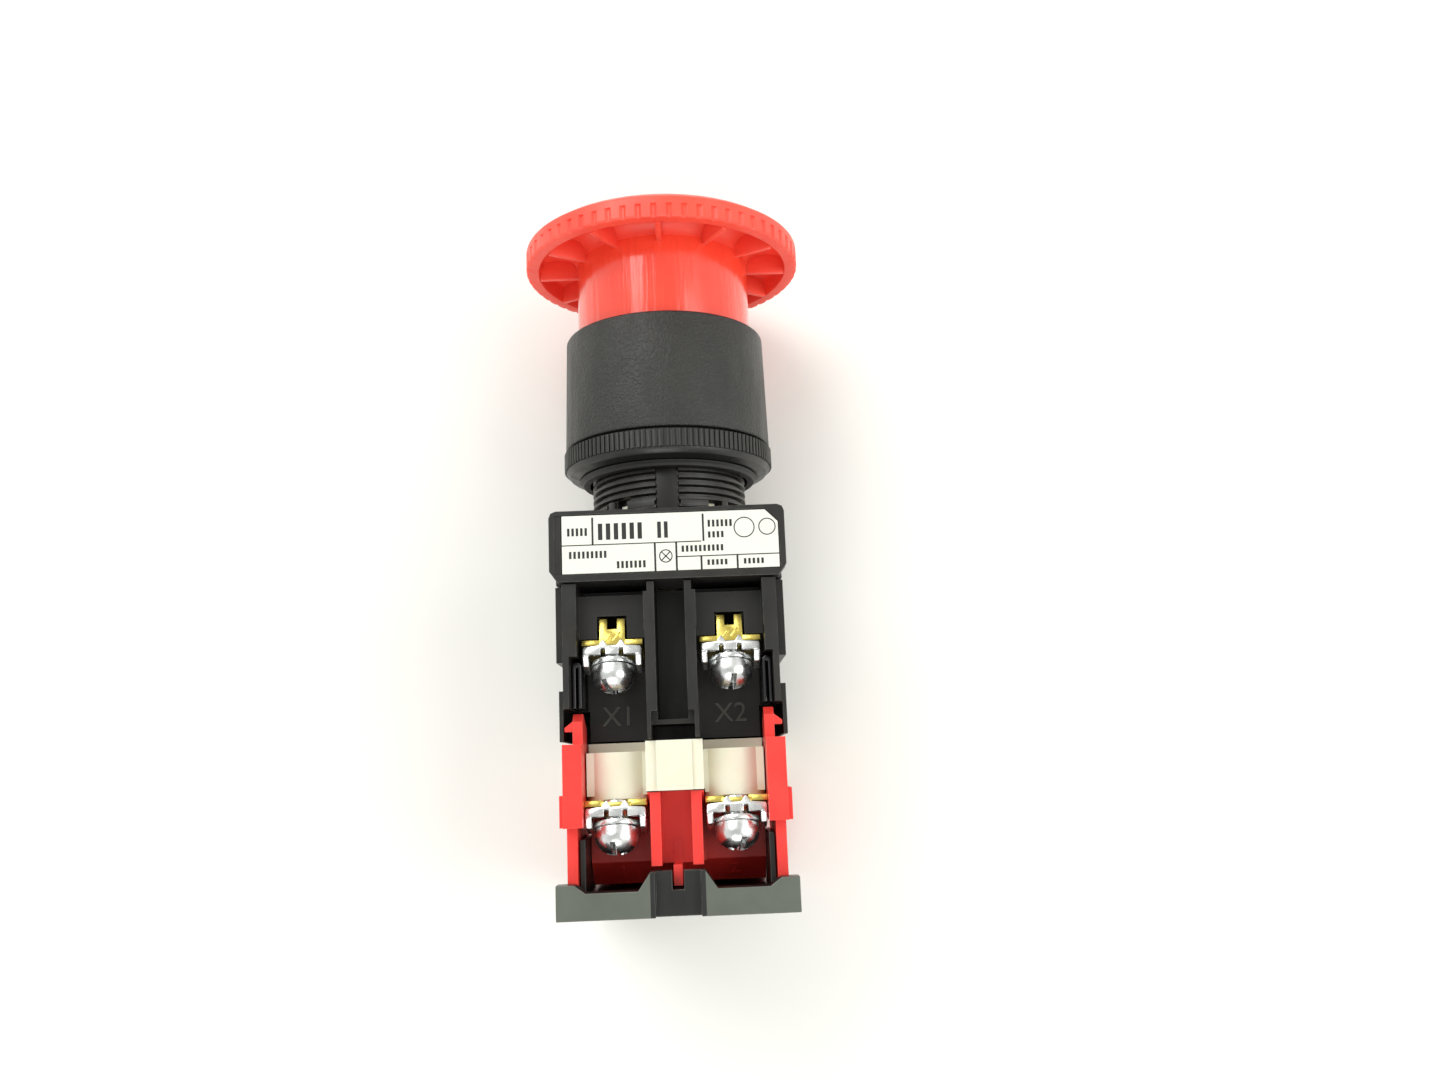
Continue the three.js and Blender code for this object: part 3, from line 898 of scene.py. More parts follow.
@dataclass
class MushroomHead:
    """The red head: a shallow dome, a fluted rim, ribs behind it, and the gloss sleeve."""

    flutes: int = 60
    columns: int = 7
    ribs: int = 12
    dome: float = 2.65
    rim_height: float = 2.9
    groove: float = 0.28
    groove_start: float = 1.85
    groove_columns: tuple[int, int] = (1, 2)
    depth: float = 6.5
    sleeve: float = 12.55
    wall: float = 1.3
    rib_half: float = 0.38
    rib_depth: float = 2.9
    rib_foot: float = 12.3
    arrow_span: Pair = (9.2, 11.2)
    arrow_sweep: float = 62.0
    arrow_start: float = 60.0
    body: str = "cap"

    def outline(self) -> list[Pair]:
        """(radius, y) points of the shell, from the axis on the face to the axis inside.

        Returns:
            The points of the outline.
        """
        low, high = extent("mushroom_cap")
        radius, face, end, rim = high.x, low.y, high.y, self.rim
        shoulder = radius - 1.4
        steps = 12
        shares = [i / steps for i in range(steps + 1)]
        dome = [(shoulder * i / steps, face + self.dome * share**2.4) for i, share in enumerate(shares)]
        start = rim - self.groove_start
        return dome + filleted(
            [
                (shoulder, face + self.dome),
                (radius, rim - self.rim_height, 0.5),
                (radius, start - 0.06),
                (radius, start),
                (radius, rim - 0.25),
                (radius - 0.22, rim, 0.08),
                (radius - 1.8, rim, 0.2),
                (radius - 2.3, rim - 2.4, 0.7),
                (self.sleeve + 3.4, rim - 2.75),
                (self.sleeve, rim - 2.6, 1.9),
                (self.sleeve, end, 0.2),
                (self.sleeve - self.wall, end, 0.2),
                (self.sleeve - self.wall, face + 2.2, 0.5),
                (0.0, face + 1.9),
            ],
            closed=False,
        )[1:]

    @property
    def rim(self) -> float:
        """The Y of the rim's rear edge."""
        low, _ = extent("mushroom_cap")
        return low.y + self.depth

    def flute(self, blank: Blank) -> None:
        """Sinks the grooves with slanted walls between the blocks of the rim.

        Args:
            blank: the head.
        """
        _, high = extent("mushroom_cap")
        start, end = self.rim - self.groove_start - 0.01, self.rim + 0.01
        for vert in blank.mesh.verts:
            turn = math.atan2(vert.co.x, vert.co.z) / TURN * self.flutes % 1.0
            deep = math.hypot(vert.co.x, vert.co.z)
            on_band = deep > high.x - 0.5 and start < vert.co.y < end
            if on_band and round(turn * self.columns) % self.columns in self.groove_columns:
                scale = (deep - self.groove) / deep
                vert.co.x *= scale
                vert.co.z *= scale

    def rib(self, blank: Blank, turn: float) -> None:
        """Adds one thin rib between the sleeve and the rim.

        Args:
            blank: the head.
            turn: its angle, in radians.
        """
        _, high = extent("mushroom_cap")
        rim, front = self.rim, self.rim - self.rib_depth
        foot, tip = self.rib_foot, high.x - 1.9
        outline = [(front, foot), (rim + 0.15, foot), (rim + 0.2, tip), (front, tip)]
        place = Matrix.Rotation(turn, 4, "Y")
        blank.prism(outline, Axis.X, (-self.rib_half, self.rib_half), 0.12, place)

    def arrow(self, blank: Blank, start: float) -> None:
        """Adds one low curved arrow to the face, which shows which way the head turns.

        Args:
            blank: the head.
            start: the angle of its point, in degrees.
        """
        low, _ = extent("mushroom_cap")
        height = low.y + 0.05
        inner, outer = self.arrow_span
        section = [(inner, height), (inner, height + 0.8), (outer, height + 0.8), (outer, height + 0.12)]
        blank.coiled(section, start, self.arrow_sweep, 20)
        tip = Matrix.Rotation(math.radians(start), 4, "Y")
        barbs = [(-0.2, inner - 1.1), (-0.2, outer + 1.1), (-2.6, (inner + outer) / 2)]
        blank.prism(barbs, Axis.Y, (height + 0.1, height + 0.9), 0.0, tip)

    def build(self) -> None:
        """Builds the head and its sleeve."""
        blank = Blank()
        blank.turned(self.outline(), self.flutes * self.columns, closed=False)
        self.flute(blank)
        for i in range(self.ribs):
            self.rib(blank, TURN * i / self.ribs)
        for i in range(2):
            self.arrow(blank, 180.0 * i + self.arrow_start)
        piece = blank.finish("mushroom_head", "red_head", self.body, ["mushroom_cap"], smooth=30)
        piece.data.materials.append(PAINT.material("red_sleeve"))
        start = self.rim - 0.6
        for face in piece.data.polygons:
            on_sleeve = math.hypot(face.center.x, face.center.z) / MM < self.sleeve + 0.1
            if face.center.y / MM > start and on_sleeve:
                face.material_index = 1


@dataclass
class Collar:
    """The long grained collar that the sleeve slides in."""

    edge: float = 0.45
    front: float = 14.3
    bore: float = 12.8
    step: float = 13.35

    def build(self) -> None:
        """Builds the collar."""
        low, high = extent("collar")
        blank = Blank()
        outline = filleted(
            [
                (self.bore, low.y, 0.2),
                (self.front, low.y, self.edge),
                (high.x, high.y, 0.3),
                (self.step, high.y),
                (self.step, high.y - 2.0),
                (self.bore, high.y - 2.0),
            ],
            segments=6,
        )
        blank.turned(outline, 144)
        blank.finish("collar_shell", "leather_black", "base", ["collar"])


@dataclass
class LockingRing:
    """The knurled ring and the gasket that it presses on the panel."""

    ribs: int = 120
    columns: int = 3
    groove: float = 0.30

    def knurl(self, blank: Blank, radius: float, span: Pair) -> None:
        """Pushes the ribs out of the ring's smooth band.

        Args:
            blank: the ring.
            radius: how far out the ribs reach.
            span: the range of Y that they fill.
        """
        found = []
        for face in blank.mesh.faces:
            middle = face.calc_center_median()
            turn = math.atan2(middle.x, middle.z) / TURN * self.ribs % 1.0
            outside = math.hypot(middle.x, middle.z) > radius - self.groove - 0.05
            if outside and span[0] < middle.y < span[1] and turn * self.columns > 1.0:
                found.append(face)
        for vert in blank.push(found, radius):
            turn = math.atan2(vert.co.x, vert.co.z) / TURN * self.ribs % 1.0
            crest = 1.0 - 0.006 * abs(math.cos(math.pi * (turn * self.columns - 1.0) / 2))
            vert.co.x *= crest
            vert.co.z *= crest

    def build(self) -> None:
        """Builds the ring and the gasket."""
        low, high = extent("locking_ring")
        radius = high.x
        band = radius - self.groove
        blank = Blank()
        outline = filleted(
            [
                (11.3, low.y),
                (band - 0.3, low.y, 0.12),
                (band, low.y + 0.3, 0.1),
                (band, high.y - 1.15),
                (band, high.y - 1.05),
                (radius - 0.85, high.y - 0.35, 0.15),
                (radius - 2.0, high.y, 0.1),
                (11.3, high.y),
            ]
        )
        blank.turned(outline, self.ribs * self.columns)
        self.knurl(blank, radius, (low.y + 0.3, high.y - 1.15))
        blank.finish("knurled_ring", "ring_black", "locking_ring", ["locking_ring"], smooth=40)
        self.gasket()

    def gasket(self) -> None:
        """Builds the gasket, whose outer side is hollow."""
        low, high = extent("panel_gasket")
        outline = filleted(
            [
                (11.3, low.y),
                (12.7, low.y, 0.08),
                (12.3, low.y + 0.4, 0.3),
                (12.2, high.y, 0.08),
                (11.3, high.y),
            ]
        )
        blank = Blank()
        blank.turned(outline, 128)
        blank.finish("gasket_ring", "rubber", "gasket", ["panel_gasket"])


@dataclass
class ThreadedNeck:
    """The neck: a guide tube, a flange, and a 22 mm thread broken by a keyway and two windows."""

    pitch: float = 1.0
    root: float = 10.25
    crest: float = 10.9
    keyway: float = 8.4
    window: Pair = (31.0, 43.0)
    window_y: Pair = (2.5, 4.8)
    bore: float = 9.0
    guide: float = 9.8
    flange: float = 13.2
    flange_y: Pair = (-8.0, -6.25)
    pocket: float = 9.3
    key_half: float = 1.5
    key_flat: float = 10.42
    turns: int = 12
    thread_start: float = -6.0
    bar_start: float = 9.6
    bar_sweep: float = 20.8
    lug: float = 46.5
    peg_half: Pair = (0.65, 0.38)
    body: str = "base"

    def core(self, blank: Blank) -> None:
        """Adds the tube, the flange and the root of the thread.

        Args:
            blank: the neck.
        """
        low, high = extent("threaded_neck")
        flange_front, flange_back = self.flange_y
        outline = [
            (self.bore, low.y),
            (self.guide, low.y),
            (self.guide, flange_front),
            (self.flange, flange_front),
            (self.flange, flange_back),
            (self.root, flange_back),
            (self.root, self.window_y[0]),
            (self.root, self.window_y[1]),
            (self.root, high.y),
            (self.bore, high.y),
        ]
        blank.turned(outline, 144)
        found = []
        for face in blank.mesh.faces:
            middle = face.calc_center_median()
            turn = abs(math.degrees(math.atan2(middle.x, middle.z)))
            outside = math.hypot(middle.x, middle.z) > self.root - 0.1
            inside_y = self.window_y[0] < middle.y < self.window_y[1]
            if outside and inside_y and self.window[0] < turn < self.window[1]:
                found.append(face)
        blank.push(found, self.pocket)

    def ridge(self, blank: Blank, start: float, end: float, y: float) -> None:
        """Adds one stretch of thread between two angles.

        Args:
            blank: the neck.
            start: the angle that it starts at.
            end: the angle that it ends at.
            y: where the thread is at angle 0.
        """
        section = [(self.root - 0.1, -0.40), (self.crest, -0.17), (self.crest, 0.17), (self.root - 0.1, 0.40)]
        here = y + self.pitch * start / 360
        steps = max(2, round((end - start) / 7))
        blank.coiled([(r, dy + here) for r, dy in section], start, end - start, steps, self.pitch)

    def thread(self, blank: Blank) -> None:
        """Adds the thread, turn by turn, with its breaks.

        Args:
            blank: the neck.
        """
        for i in range(self.turns):
            y = self.thread_start + i * self.pitch
            broken = self.window_y[0] - 0.5 < y < self.window_y[1] + 0.3
            if broken:
                near, far = self.window[0] - 0.5, self.window[1] + 8.0
                self.ridge(blank, far, 360 - far, y)
                self.ridge(blank, self.keyway, near, y)
                self.ridge(blank, 360 - near, 360 - self.keyway, y)
            else:
                self.ridge(blank, self.keyway, 360 - self.keyway, y)

    def island(self, blank: Blank, side: float) -> None:
        """Adds the raised bar between the keyway and a window, and the lug past the window.

        Args:
            blank: the neck.
            side: 1 for the left one and -1 for the right one.
        """
        start = self.bar_start if side > 0 else -self.bar_start - self.bar_sweep
        low, high = self.window_y
        section = filleted(
            [
                (self.root - 0.2, low + 0.6),
                (self.crest + 0.02, low + 0.6, 0.15),
                (self.crest + 0.02, low + 1.6, 0.15),
                (self.root - 0.2, low + 1.6),
            ]
        )
        blank.coiled(section, start, self.bar_sweep, 8)
        turn = Matrix.Rotation(math.radians(side * self.lug), 4, "Y")
        blank.box((-0.6, 0.6), (low + 0.1, high - 0.1), (9.6, self.crest - 0.05), 0.15, turn)

    def peg(self, blank: Blank, side: float) -> None:
        """Adds the pale bar that shows in a window.

        Args:
            blank: the pegs.
            side: 1 for the left one and -1 for the right one.
        """
        turn = Matrix.Rotation(math.radians(side * sum(self.window) / 2), 4, "Y")
        middle = sum(self.window_y) / 2
        wide, tall = self.peg_half
        blank.box((-wide, wide), (middle - tall, middle + tall), (9.2, 9.75), 0.1, turn)

    def build(self) -> None:
        """Builds the neck."""
        blank = Blank()
        self.core(blank)
        self.thread(blank)
        blank.box((-self.key_half, self.key_half), (self.thread_start, 6.1), (9.4, self.key_flat), 0.05)
        for side in SIDES.values():
            self.island(blank, side)
        blank.finish("neck_with_thread", "body_black", self.body, ["threaded_neck"], smooth=28)
        pegs = Blank()
        for side in SIDES.values():
            self.peg(pegs, side)
        pegs.finish("window_pegs", "ivory", self.body)


# ---------------------------------------------------------------- behind the panel


@dataclass
class LabelHousing:
    """The block behind the panel, with the label let into its top."""

    rule: float = 0.13
    upright: float = 0.24
    pitch: float = 0.55
    proud: float = 0.015
    body: str = "base"

    def bar(self, blank: Blank, x: Pair, y: Pair) -> None:
        """Adds one printed bar to the label."""
        _, high = extent("label_plate")
        blank.box(x, y, (high.z - 0.02, high.z + self.proud))

    def across(self, blank: Blank, x: Pair, y: float) -> None:
        """Adds a rule along X."""
        self.bar(blank, x, (y - self.rule / 2, y + self.rule / 2))

    def down(self, blank: Blank, x: float, y: Pair) -> None:
        """Adds a rule along Y."""
        self.bar(blank, (x - self.upright / 2, x + self.upright / 2), y)

    def line(self, blank: Blank, start: float, y: Pair, strokes: int, pitch: float) -> None:
        """Prints a row of plain strokes where a maker would print words.

        Args:
            blank: the print.
            start: the X of its left end.
            y: its height.
            strokes: how many strokes it has.
            pitch: how far apart they are.
        """
        for i in range(strokes):
            self.bar(blank, (start - i * pitch - pitch * 0.55, start - i * pitch), y)

    def printing(self) -> None:
        """Prints the rules, the rows of strokes and the symbols."""
        low, high = extent("label_plate")
        middle = (low.y + high.y) / 2 + 0.1
        blank = Blank()
        self.across(blank, (-4.3, high.x), middle)
        self.across(blank, (low.x, -1.1), middle + 1.9)
        for x, y in (
            (9.4, (low.y + 0.3, middle)),
            (-4.6, (low.y + 0.3, middle)),
            (1.57, (middle, high.y)),
            (-1.13, (middle, high.y)),
            (-4.25, (middle + 1.9, high.y)),
            (-8.8, (middle + 1.9, high.y)),
        ):
            self.down(blank, x, y)
        for start, span, strokes, pitch in (
            (8.7, (-2.7, -0.6), 6, 1.0),
            (1.2, (-2.7, -0.6), 2, 0.85),
            (12.6, (-2.2, -1.2), 5, self.pitch),
            (12.4, (0.8, 1.7), 9, self.pitch),
            (6.4, (2.2, 3.1), 7, self.pitch),
            (-5.2, (-2.7, -1.8), 6, self.pitch),
            (-5.2, (-1.2, -0.4), 4, self.pitch),
            (-1.8, (0.5, 1.3), 10, self.pitch),
            (-5.0, (2.4, 3.1), 5, self.pitch),
            (-9.6, (2.4, 3.1), 5, self.pitch),
        ):
            self.line(blank, start, (middle + span[0], middle + span[1]), strokes, pitch)
        self.symbol(blank, (0.22, middle + 1.75), 0.85, crossed=True)
        self.symbol(blank, (-9.8, middle - 1.6), 1.33)
        self.symbol(blank, (-12.7, middle - 1.6), 1.1)
        blank.finish("label_print", "label_ink", self.body)

    def symbol(self, blank: Blank, centre: Pair, radius: float, crossed: bool = False) -> None:
        """Prints a plain circle, or one with a cross in it.

        Args:
            blank: the print.
            centre: its middle.
            radius: its outer radius.
            crossed: whether it holds a cross.
        """
        _, high = extent("label_plate")
        upright = Matrix.Translation((centre[0], centre[1], high.z)) @ Matrix.Rotation(math.pi / 2, 4, "X")
        inner = radius - self.rule
        ring = [(inner, -0.02), (radius, -0.02), (radius, self.proud), (inner, self.proud)]
        blank.turned(ring, 40, place=upright)
        for turn in (45.0, 135.0) if crossed else ():
            place = Matrix.Translation((*centre, 0.0)) @ Matrix.Rotation(math.radians(turn), 4, "Z")
            half = self.rule / 2
            blank.box((-radius, radius), (-half, half), (high.z - 0.02, high.z + self.proud), 0.0, place)

    def build(self) -> None:
        """Builds the housing, the label and its print."""
        Blank.from_node("label_housing").finish(
            "label_block", "body_black", self.body, ["label_housing"], edge=0.22
        )
        card = Blank.from_node("label_plate")
        card.finish("label_card", "label_white", self.body, ["label_plate"], edge=0.06)
        self.printing()


@dataclass
class TerminalSet:
    """One terminal: its brass flange, toothed clamp, split washer and domed screw."""

    prefix: str
    side: str
    slot_turn: float
    forked: bool
    head: float = 2.75
    flange: Pair = (-3.6, 2.4)

    def place(self) -> Matrix:
        """From the terminal's own axes, Y along the screw, to the frame's.

        Returns:
            The turn and the place of the terminal.
        """
        joint = next(j for j in frame["joints"] if j["name"] == f"{self.prefix}_screw_{self.side}_turn")
        lean = Vector((0.0, 1.0, 0.0)).rotation_difference(Vector(joint["axis"])).to_matrix().to_4x4()
        return Matrix.Translation(Vector(joint["pos_m"]) / MM) @ lean

    def brass(self) -> None:
        """Builds the flange that the wire is clamped on."""
        place = self.place()
        blank = Blank()
        low, high = self.flange
        for x in ((-3.9, -1.5), (1.5, 3.9)):
            blank.box(x, (-0.8, 0.0), (low, high), 0.12, place)
        if self.forked:
            prong = [(1.65, 0.0), (1.65, -3.6), (0.6, -3.6), (0.6, -2.2)]
            outline = [*[(-x, y) for x, y in prong], *reversed(prong)]
            blank.prism(outline, Axis.Z, (high - 0.55, high + 0.1), 0.1, place)
            blank.box((-1.6, 1.6), (-0.75, 0.0), (low, high - 0.1), 0.1, place)
            for x in (-0.55, 0.45):
                lean = Matrix.Rotation(math.radians(-38), 4, "Z")
                slant = place @ Matrix.Translation((x, -1.1, high + 0.1)) @ lean
                blank.box((-0.14, 0.14), (-0.75, 0.75), (-0.1, 0.07), 0.05, slant)
        else:
            blank.box((-1.9, 1.9), (-0.55, 0.12), (low, high + 0.12), 0.14, place)
            self.blade(blank)
        node = f"{self.prefix}_terminal_{self.side}"
        blank.finish(f"{self.prefix}_flange_{self.side}", "brass", "base", [node])

    def blade(self, blank: Blank) -> None:
        """Adds the blade down to the fixed contact.

        Args:
            blank: the terminal.
        """
        inner = onside(SIDES[self.side], 3.7, 5.3)
        blank.box(inner, (43.4, 43.9), (0.4, 12.4), 0.08)
        middle = (inner[0] + inner[1]) / 2
        blank.turned(
            [(0.0, 43.8), (0.55, 43.8), (0.55, 44.1), (0.4, 44.25), (0.0, 44.25)],
            20,
            closed=False,
            place=Matrix.Translation((middle, 0.0, 1.2)),
        )

    def clamp(self) -> None:
        """Builds the clamp: a folded plate with two teeth over the flange's front edge."""
        place = self.place()
        blank = Blank()
        tooth = 1.15
        front = [
            (3.65, 0.3),
            (3.65, 1.35),
            (tooth + 0.3, 1.35),
            (tooth + 0.3, 0.55),
            (tooth - 0.3, 0.55),
            (tooth - 0.3, 1.35),
        ]
        teeth = [(tooth - 0.55, 0.12), (tooth - 0.12, -0.60), (tooth + 0.12, -0.60), (tooth + 0.55, 0.12)]
        right = [(-x, y) for x, y in front]
        outline = [*teeth, *front, *reversed(right), *[(-x, y) for x, y in reversed(teeth)]]
        blank.prism(outline, Axis.Z, (2.15, 2.85), 0.09, place)
        blank.box((-3.6, 3.6), (0.2, 1.15), (-2.9, 2.3), 0.12, place)
        for side in (1.0, -1.0):
            ear = filleted(
                [(0.4, -2.6), (0.4, 2.8), (1.5, 2.8, 0.4), (2.6, 1.8, 0.4), (2.6, -1.2, 0.4), (1.2, -2.6)]
            )
            blank.prism(ear, Axis.X, onside(side, 2.95, 3.75), 0.14, place)
            blank.box(onside(side, 1.6, 3.0), (1.0, 1.55), (0.2, 2.55), 0.16, place)
        hole = Blank()
        hole.turned([(0.0, -1.0), (2.0, -1.0), (2.0, 2.6), (0.0, 2.6)], 40, closed=False, place=place)
        blank.carve(hole)
        node = f"{self.prefix}_clamp_{self.side}"
        blank.finish(f"{self.prefix}_saddle_{self.side}", "zinc", node, [node])

    def washer(self) -> None:
        """Builds the split spring washer, whose ends stand a little apart."""
        section = filleted(
            [(1.95, 1.42, 0.06), (2.85, 1.42, 0.1), (2.85, 2.05, 0.1), (1.95, 2.05, 0.06)],
            segments=2,
        )
        blank = Blank()
        blank.coiled(section, self.slot_turn + 20.0, 350.0, 64, 0.26, self.place())
        node = f"{self.prefix}_spring_washer_{self.side}"
        body = f"{self.prefix}_clamp_{self.side}"
        blank.finish(f"{self.prefix}_split_washer_{self.side}", "zinc", body, [node])

    def screw(self) -> None:
        """Builds the screw: a domed head with a slot and a cross, and its shank."""
        apex, under = 5.55, 2.3
        dome = [
            (self.head * math.cos(a), 3.35 + (apex - 3.35) * math.sin(a))
            for a in (math.pi / 2 * i / 12 for i in range(13))
        ]
        outline = [
            (0.0, -1.2),
            (1.5, -1.2),
            (1.7, -1.0),
            (1.7, under),
            (self.head - 0.12, under),
            (self.head, under + 0.12),
        ]
        blank = Blank()
        blank.turned([*outline, *dome], 56, closed=False)
        cutter = Blank()
        cutter.box((-3.2, 3.2), (apex - 1.15, apex + 1.0), (-0.36, 0.36))
        blank.carve(cutter)
        for turn in (0.0, 90.0):
            cross = Blank()
            swing = Matrix.Rotation(math.radians(turn), 4, "Y")
            cross.prism(
                [(-1.55, apex + 1.0), (1.55, apex + 1.0), (0.75, apex - 2.2), (-0.75, apex - 2.2)],
                Axis.Z,
                (-0.42, 0.42),
                0.0,
                swing,
            )
            blank.carve(cross)
        place = self.place() @ Matrix.Rotation(math.radians(self.slot_turn), 4, "Y")
        bmesh.ops.transform(blank.mesh, matrix=place, verts=blank.mesh.verts)
        node = f"{self.prefix}_screw_{self.side}"
        blank.finish(f"{self.prefix}_domed_screw_{self.side}", "zinc", node, [node], edge=0.07, smooth=28)

    def build(self) -> None:
        """Builds the four pieces."""
        self.brass()
        self.clamp()
        self.washer()
        self.screw()


@dataclass
class LampUnit:
    """The black block with the lamp's two terminals, its gloss tongues and its raised marks."""

    mark_height: float = 2.6
    body: str = "base"

    def marks(self) -> None:
        """Raises the terminal numbers on the compartment floors."""
        blank = Blank()
        for side, text in ((1.0, "X1"), (-1.0, "X2")):
            flip = Matrix.Rotation(math.pi, 4, "Z")
            place = Matrix.Translation((side * 7.4, 32.0, 9.02)) @ flip
            blank.lettering(text, self.mark_height, 0.3, place)
        # The raised marks are painted the lighter grey of the cover's lips: a painted highlight on the black
        # moulding.
        blank.finish("lamp_unit_marks", "painted_sheen_grey", self.body)

    def tongue(self, name: str, side: float) -> None:
        """Builds one gloss tongue: a strip folded back on itself.

        Args:
            name: left or right.
            side: 1 for the left one and -1 for the right one.
        """
        low, high = extent(f"retaining_tongue_{name}")
        inner, outer = sorted((abs(low.x), abs(high.x)))
        wide = outer - inner
        front, back, slot = low.y, high.y, wide * 0.3
        outline = filleted(
            [
                (inner, back),
                (inner, front, wide * 0.49),
                (outer, front, wide * 0.49),
                (outer, back),
                (outer - wide * 0.35, back),
                (outer - wide * 0.35, front + wide * 0.6, slot * 0.45),
                (inner + wide * 0.35, front + wide * 0.6, slot * 0.45),
                (inner + wide * 0.35, back),
            ]
        )
        blank = Blank()
        blank.prism([(side * x, y) for x, y in outline], Axis.Z, (low.z, high.z), 0.09)
        node = f"retaining_tongue_{name}"
        blank.finish(f"gloss_tongue_{name}", "gloss_black", self.body, [node])

    def build(self) -> None:
        """Builds the block, its marks and its tongues."""
        block = Blank.from_node("lamp_unit_body")
        block.finish("lamp_block", "body_black", self.body, ["lamp_unit_body"], edge=0.16)
        self.marks()
        for name, side in SIDES.items():
            self.tongue(name, side)


@dataclass
class ContactBlock:
    """The ivory front, the red body and the two red latch arms."""

    mark_height: float = 2.2
    body: str = "base"

    def marks(self) -> None:
        """Raises the terminal numbers on the sloping end of the body."""
        blank = Blank()
        slope = Matrix.Rotation(math.atan2(3.5, 3.0), 4, "X")
        facing = slope.inverted() @ Matrix.Rotation(math.pi, 4, "Z")
        for side, text in ((1.0, "1"), (-1.0, "2")):
            place = Matrix.Translation((side * 7.2, 51.9, 8.3)) @ facing
            blank.lettering(text, self.mark_height, 0.2, place)
        blank.finish("contact_block_marks", "red_moulding", self.body)

    def build(self) -> None:
        """Builds the mouldings."""
        mouldings = [
            ("contact_front", "ivory_front", "ivory", 0.2),
            ("contact_block_body", "red_block", "red_moulding", 0.16),
            *[(f"latch_arm_{name}", f"red_latch_{name}", "red_moulding", 0.16) for name in SIDES],
        ]
        for node, name, finish, edge in mouldings:
            Blank.from_node(node).finish(name, finish, self.body, [node], edge=edge)
        self.marks()


@dataclass
class EndCover:
    """The black rear cover, with a painted reflection on the lips on both sides of its middle: their top
    faces are a lighter grey.
    """

    middle: float = 3.35
    body: str = "base"

    def build(self) -> None:
        """Builds the cover."""
        blank = Blank.from_node("end_cover")
        piece = blank.finish("rear_cover", "cover_black", self.body, ["end_cover"], edge=0.24)
        self.paint_sheen_on_lips(piece)

    def paint_sheen_on_lips(self, piece: bpy.types.Object) -> None:
        """Paints the top faces of the two lips beside the middle a lighter grey, a painted reflection of the
        light that they catch.

        Args:
            piece: the cover.
        """
        piece.data.materials.append(PAINT.material("painted_sheen_grey"))
        _, high = extent("end_cover")
        cut = bmesh.new()
        cut.from_mesh(piece.data)
        bmesh.ops.scale(cut, vec=(1 / MM,) * 3, verts=cut.verts)
        for side in (-1.0, 1.0):
            whole = [*cut.faces, *cut.edges, *cut.verts]
            bmesh.ops.bisect_plane(cut, geom=whole, plane_co=(side * self.middle, 0, 0), plane_no=(1, 0, 0))
        for face in cut.faces:
            centre = face.calc_center_median()
            # Painted reflection: the lips' top faces take the lighter grey.
            on_top = face.normal.z > 0.9 and centre.z > high.z - 0.1
            if on_top and abs(centre.x) > self.middle:
                face.material_index = 1
        bmesh.ops.scale(cut, vec=(MM,) * 3, verts=cut.verts)
        cut.to_mesh(piece.data)
        cut.free()


@dataclass
class Internals:
    """What is inside: the springs are new coils, and the rest keeps its frame shape."""

    kept: dict[str, str] = field(
        default_factory=lambda: {
            "operator_shaft": "red_moulding",
            "pusher": "body_black",
            "latch_ring": "zinc",
            "lamp_holder": "ivory",
            "led_lamp": "lens",
            "lamp_base": "brass",
            "contact_plunger": "ivory",
            "contact_bridge": "brass",
            "lock_pin_left": "zinc",
            "lock_pin_right": "zinc",
        }
    )

    def spring(self, node: str, wire: float, turns: int, body: str) -> bpy.types.Object:
        """Builds a round-wire coil spring in the room of a frame node.

        Args:
            node: the frame node that it stands for.
            wire: the wire's diameter.
            turns: how many turns it has.
            body: the body that it rides on.

        Returns:
            The spring.
        """
        low, high = extent(node)
        radius = high.x - wire / 2
        start = low.y + wire / 2
        rise = high.y - low.y - wire
        sides = 10
        section = [
            (radius + wire / 2 * math.cos(TURN * i / sides), start + wire / 2 * math.sin(TURN * i / sides))
            for i in range(sides)
        ]
        blank = Blank()
        blank.coiled(section, 0.0, 360.0 * turns, 36 * turns, rise / turns)
        return blank.finish(f"{node}_coil", "spring_wire", body, [node], smooth=60)

    def build(self) -> None:
        """Builds the springs and dresses the rest."""
        push = next(j for j in frame["joints"] if j["name"] == "push")
        travel = push["range_m"][1]
        for node, wire, turns, joint in (
            ("return_spring", 0.7, 7, "push"),
            ("contact_spring", 0.4, 5, "contact_travel"),
        ):
            low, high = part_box(node)
            coil = self.spring(node, wire, turns, "base")
            keep = 1 - travel / (high.y - low.y)
            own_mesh(coil)
        self.spring("turn_spring", 0.6, 5, "pusher")
        for node, finish in self.kept.items():
            dress(node, finish)


# ---------------------------------------------------------------- studio


@dataclass(frozen=True)
class SoftLight:
    """A square soft light that faces the button: its place and side in metres, and its watts."""

    name: str
    place: tuple[float, float, float]
    size: float
    power: float
    tint: Colour

    def hang(self) -> None:
        """Puts it up."""
        data = bpy.data.lights.new(self.name, "AREA")
        data.shape, data.size = "SQUARE", self.size
        data.energy, data.color = self.power, self.tint
        lamp = bpy.data.objects.new(self.name, data)
        lamp.location = self.place
        lamp.rotation_mode = "QUATERNION"
        lamp.rotation_quaternion = (-Vector(self.place)).to_track_quat("-Z", "Y")
        bpy.context.scene.collection.objects.link(lamp)


LIGHTS = (
    SoftLight("window", (0.30, -0.42, 0.50), 0.50, 2.9, (1.0, 1.0, 0.98)),
    SoftLight("fill", (-0.45, 0.05, 0.45), 0.45, 1.8, (1.0, 0.99, 0.96)),
    SoftLight("back", (0.05, 0.50, 0.42), 0.30, 1.2, (1.0, 1.0, 0.97)),
)


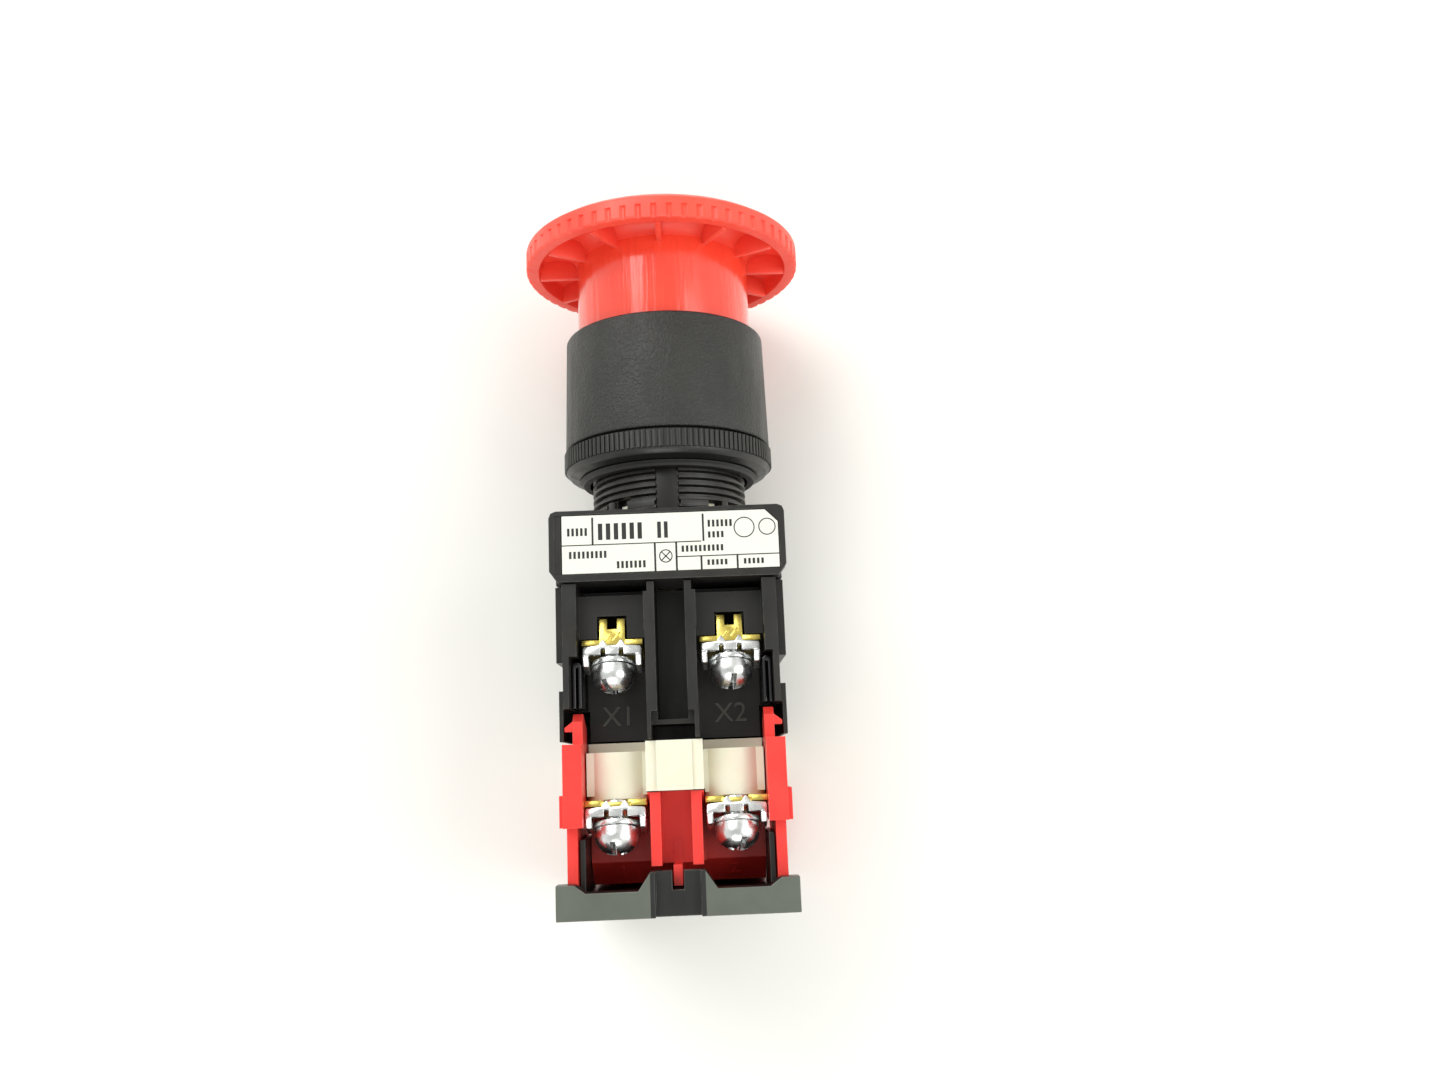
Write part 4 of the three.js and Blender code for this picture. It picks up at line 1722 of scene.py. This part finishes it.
@dataclass
class Studio:
    """The floor, the lights and the camera."""

    camera_place: tuple[float, float, float] = (-4.0, 38.95, 170.3)
    lean: float = -10.53
    swing: float = 1.12
    roll: float = -2.10
    lens: float = 30.14
    floor_z: float = -20.05

    def camera(self) -> None:
        """Puts the camera above the label side, with the mushroom at the top of the frame."""
        data = bpy.data.cameras.new("camera")
        data.lens = self.lens
        data.clip_start = 0.01
        camera = bpy.data.objects.new("camera", data)
        bpy.context.scene.collection.objects.link(camera)
        turn = (
            Matrix.Rotation(math.radians(self.lean), 4, "X")
            @ Matrix.Rotation(math.radians(self.swing), 4, "Y")
            @ Matrix.Rotation(math.pi + math.radians(self.roll), 4, "Z")
        )
        camera.matrix_world = Matrix.Translation(Vector(self.camera_place) * MM) @ turn
        bpy.context.scene.camera = camera

    def floor(self) -> None:
        """Lays a wide pale floor under the button."""
        blank = bmesh.new()
        bmesh.ops.create_grid(blank, x_segments=2, y_segments=2, size=3.0)
        bmesh.ops.translate(blank, vec=(0, 0, self.floor_z * MM), verts=blank.verts)
        mesh = bpy.data.meshes.new("floor")
        blank.to_mesh(mesh)
        blank.free()
        floor = bpy.data.objects.new("floor", mesh)
        bpy.context.scene.collection.objects.link(floor)
        graph = Graph("pale_floor")
        place = graph.millimetres()
        clouds = graph.noise(place, 0.01, 3.0)
        colour = graph.blend(clouds, (0.86, 0.86, 0.83), (0.83, 0.83, 0.79))
        mesh.materials.append(graph.surface({"Base Color": colour, "Roughness": 0.55}))

    def sky(self) -> None:
        """Surrounds the button with a pale room that is dimmer overhead."""
        world = bpy.data.worlds.new("room")
        bpy.context.scene.world = world
        world.use_nodes = True
        nodes, links = world.node_tree.nodes, world.node_tree.links
        nodes.clear()
        where = nodes.new("ShaderNodeTexCoord")
        split = nodes.new("ShaderNodeSeparateXYZ")
        ramp = nodes.new("ShaderNodeValToRGB")
        ramp.color_ramp.elements[0].position = 0.25
        ramp.color_ramp.elements[0].color = (1.0, 1.0, 0.98, 1.0)
        ramp.color_ramp.elements[1].position = 0.95
        ramp.color_ramp.elements[1].color = (0.58, 0.58, 0.56, 1.0)
        background = nodes.new("ShaderNodeBackground")
        background.inputs["Strength"].default_value = 0.95
        end = nodes.new("ShaderNodeOutputWorld")
        links.new(where.outputs["Generated"], split.inputs[0])
        links.new(split.outputs["Z"], ramp.inputs[0])
        links.new(ramp.outputs["Color"], background.inputs["Color"])
        links.new(background.outputs[0], end.inputs[0])

    def build(self) -> None:
        """Sets the stage."""
        self.camera()
        self.floor()
        self.sky()
        for light in LIGHTS:
            light.hang()
        bpy.context.scene.view_settings.view_transform = "Standard"


def main() -> None:
    """Builds the stage and every piece."""
    logging.basicConfig(level=logging.INFO, format="%(message)s")
    parts: list[object] = [
        Studio(),
        MushroomHead(),
        Collar(),
        LockingRing(),
        ThreadedNeck(),
        LabelHousing(),
        LampUnit(),
        ContactBlock(),
        EndCover(),
        TerminalSet("lamp", "left", 118.0, True),
        TerminalSet("lamp", "right", 82.0, True),
        TerminalSet("contact", "left", 100.0, False),
        TerminalSet("contact", "right", 70.0, False),
        Internals(),
    ]
    for part in parts:
        log.info("-- %s", type(part).__name__)
        part.build()


if __name__ == "__main__":
    main()
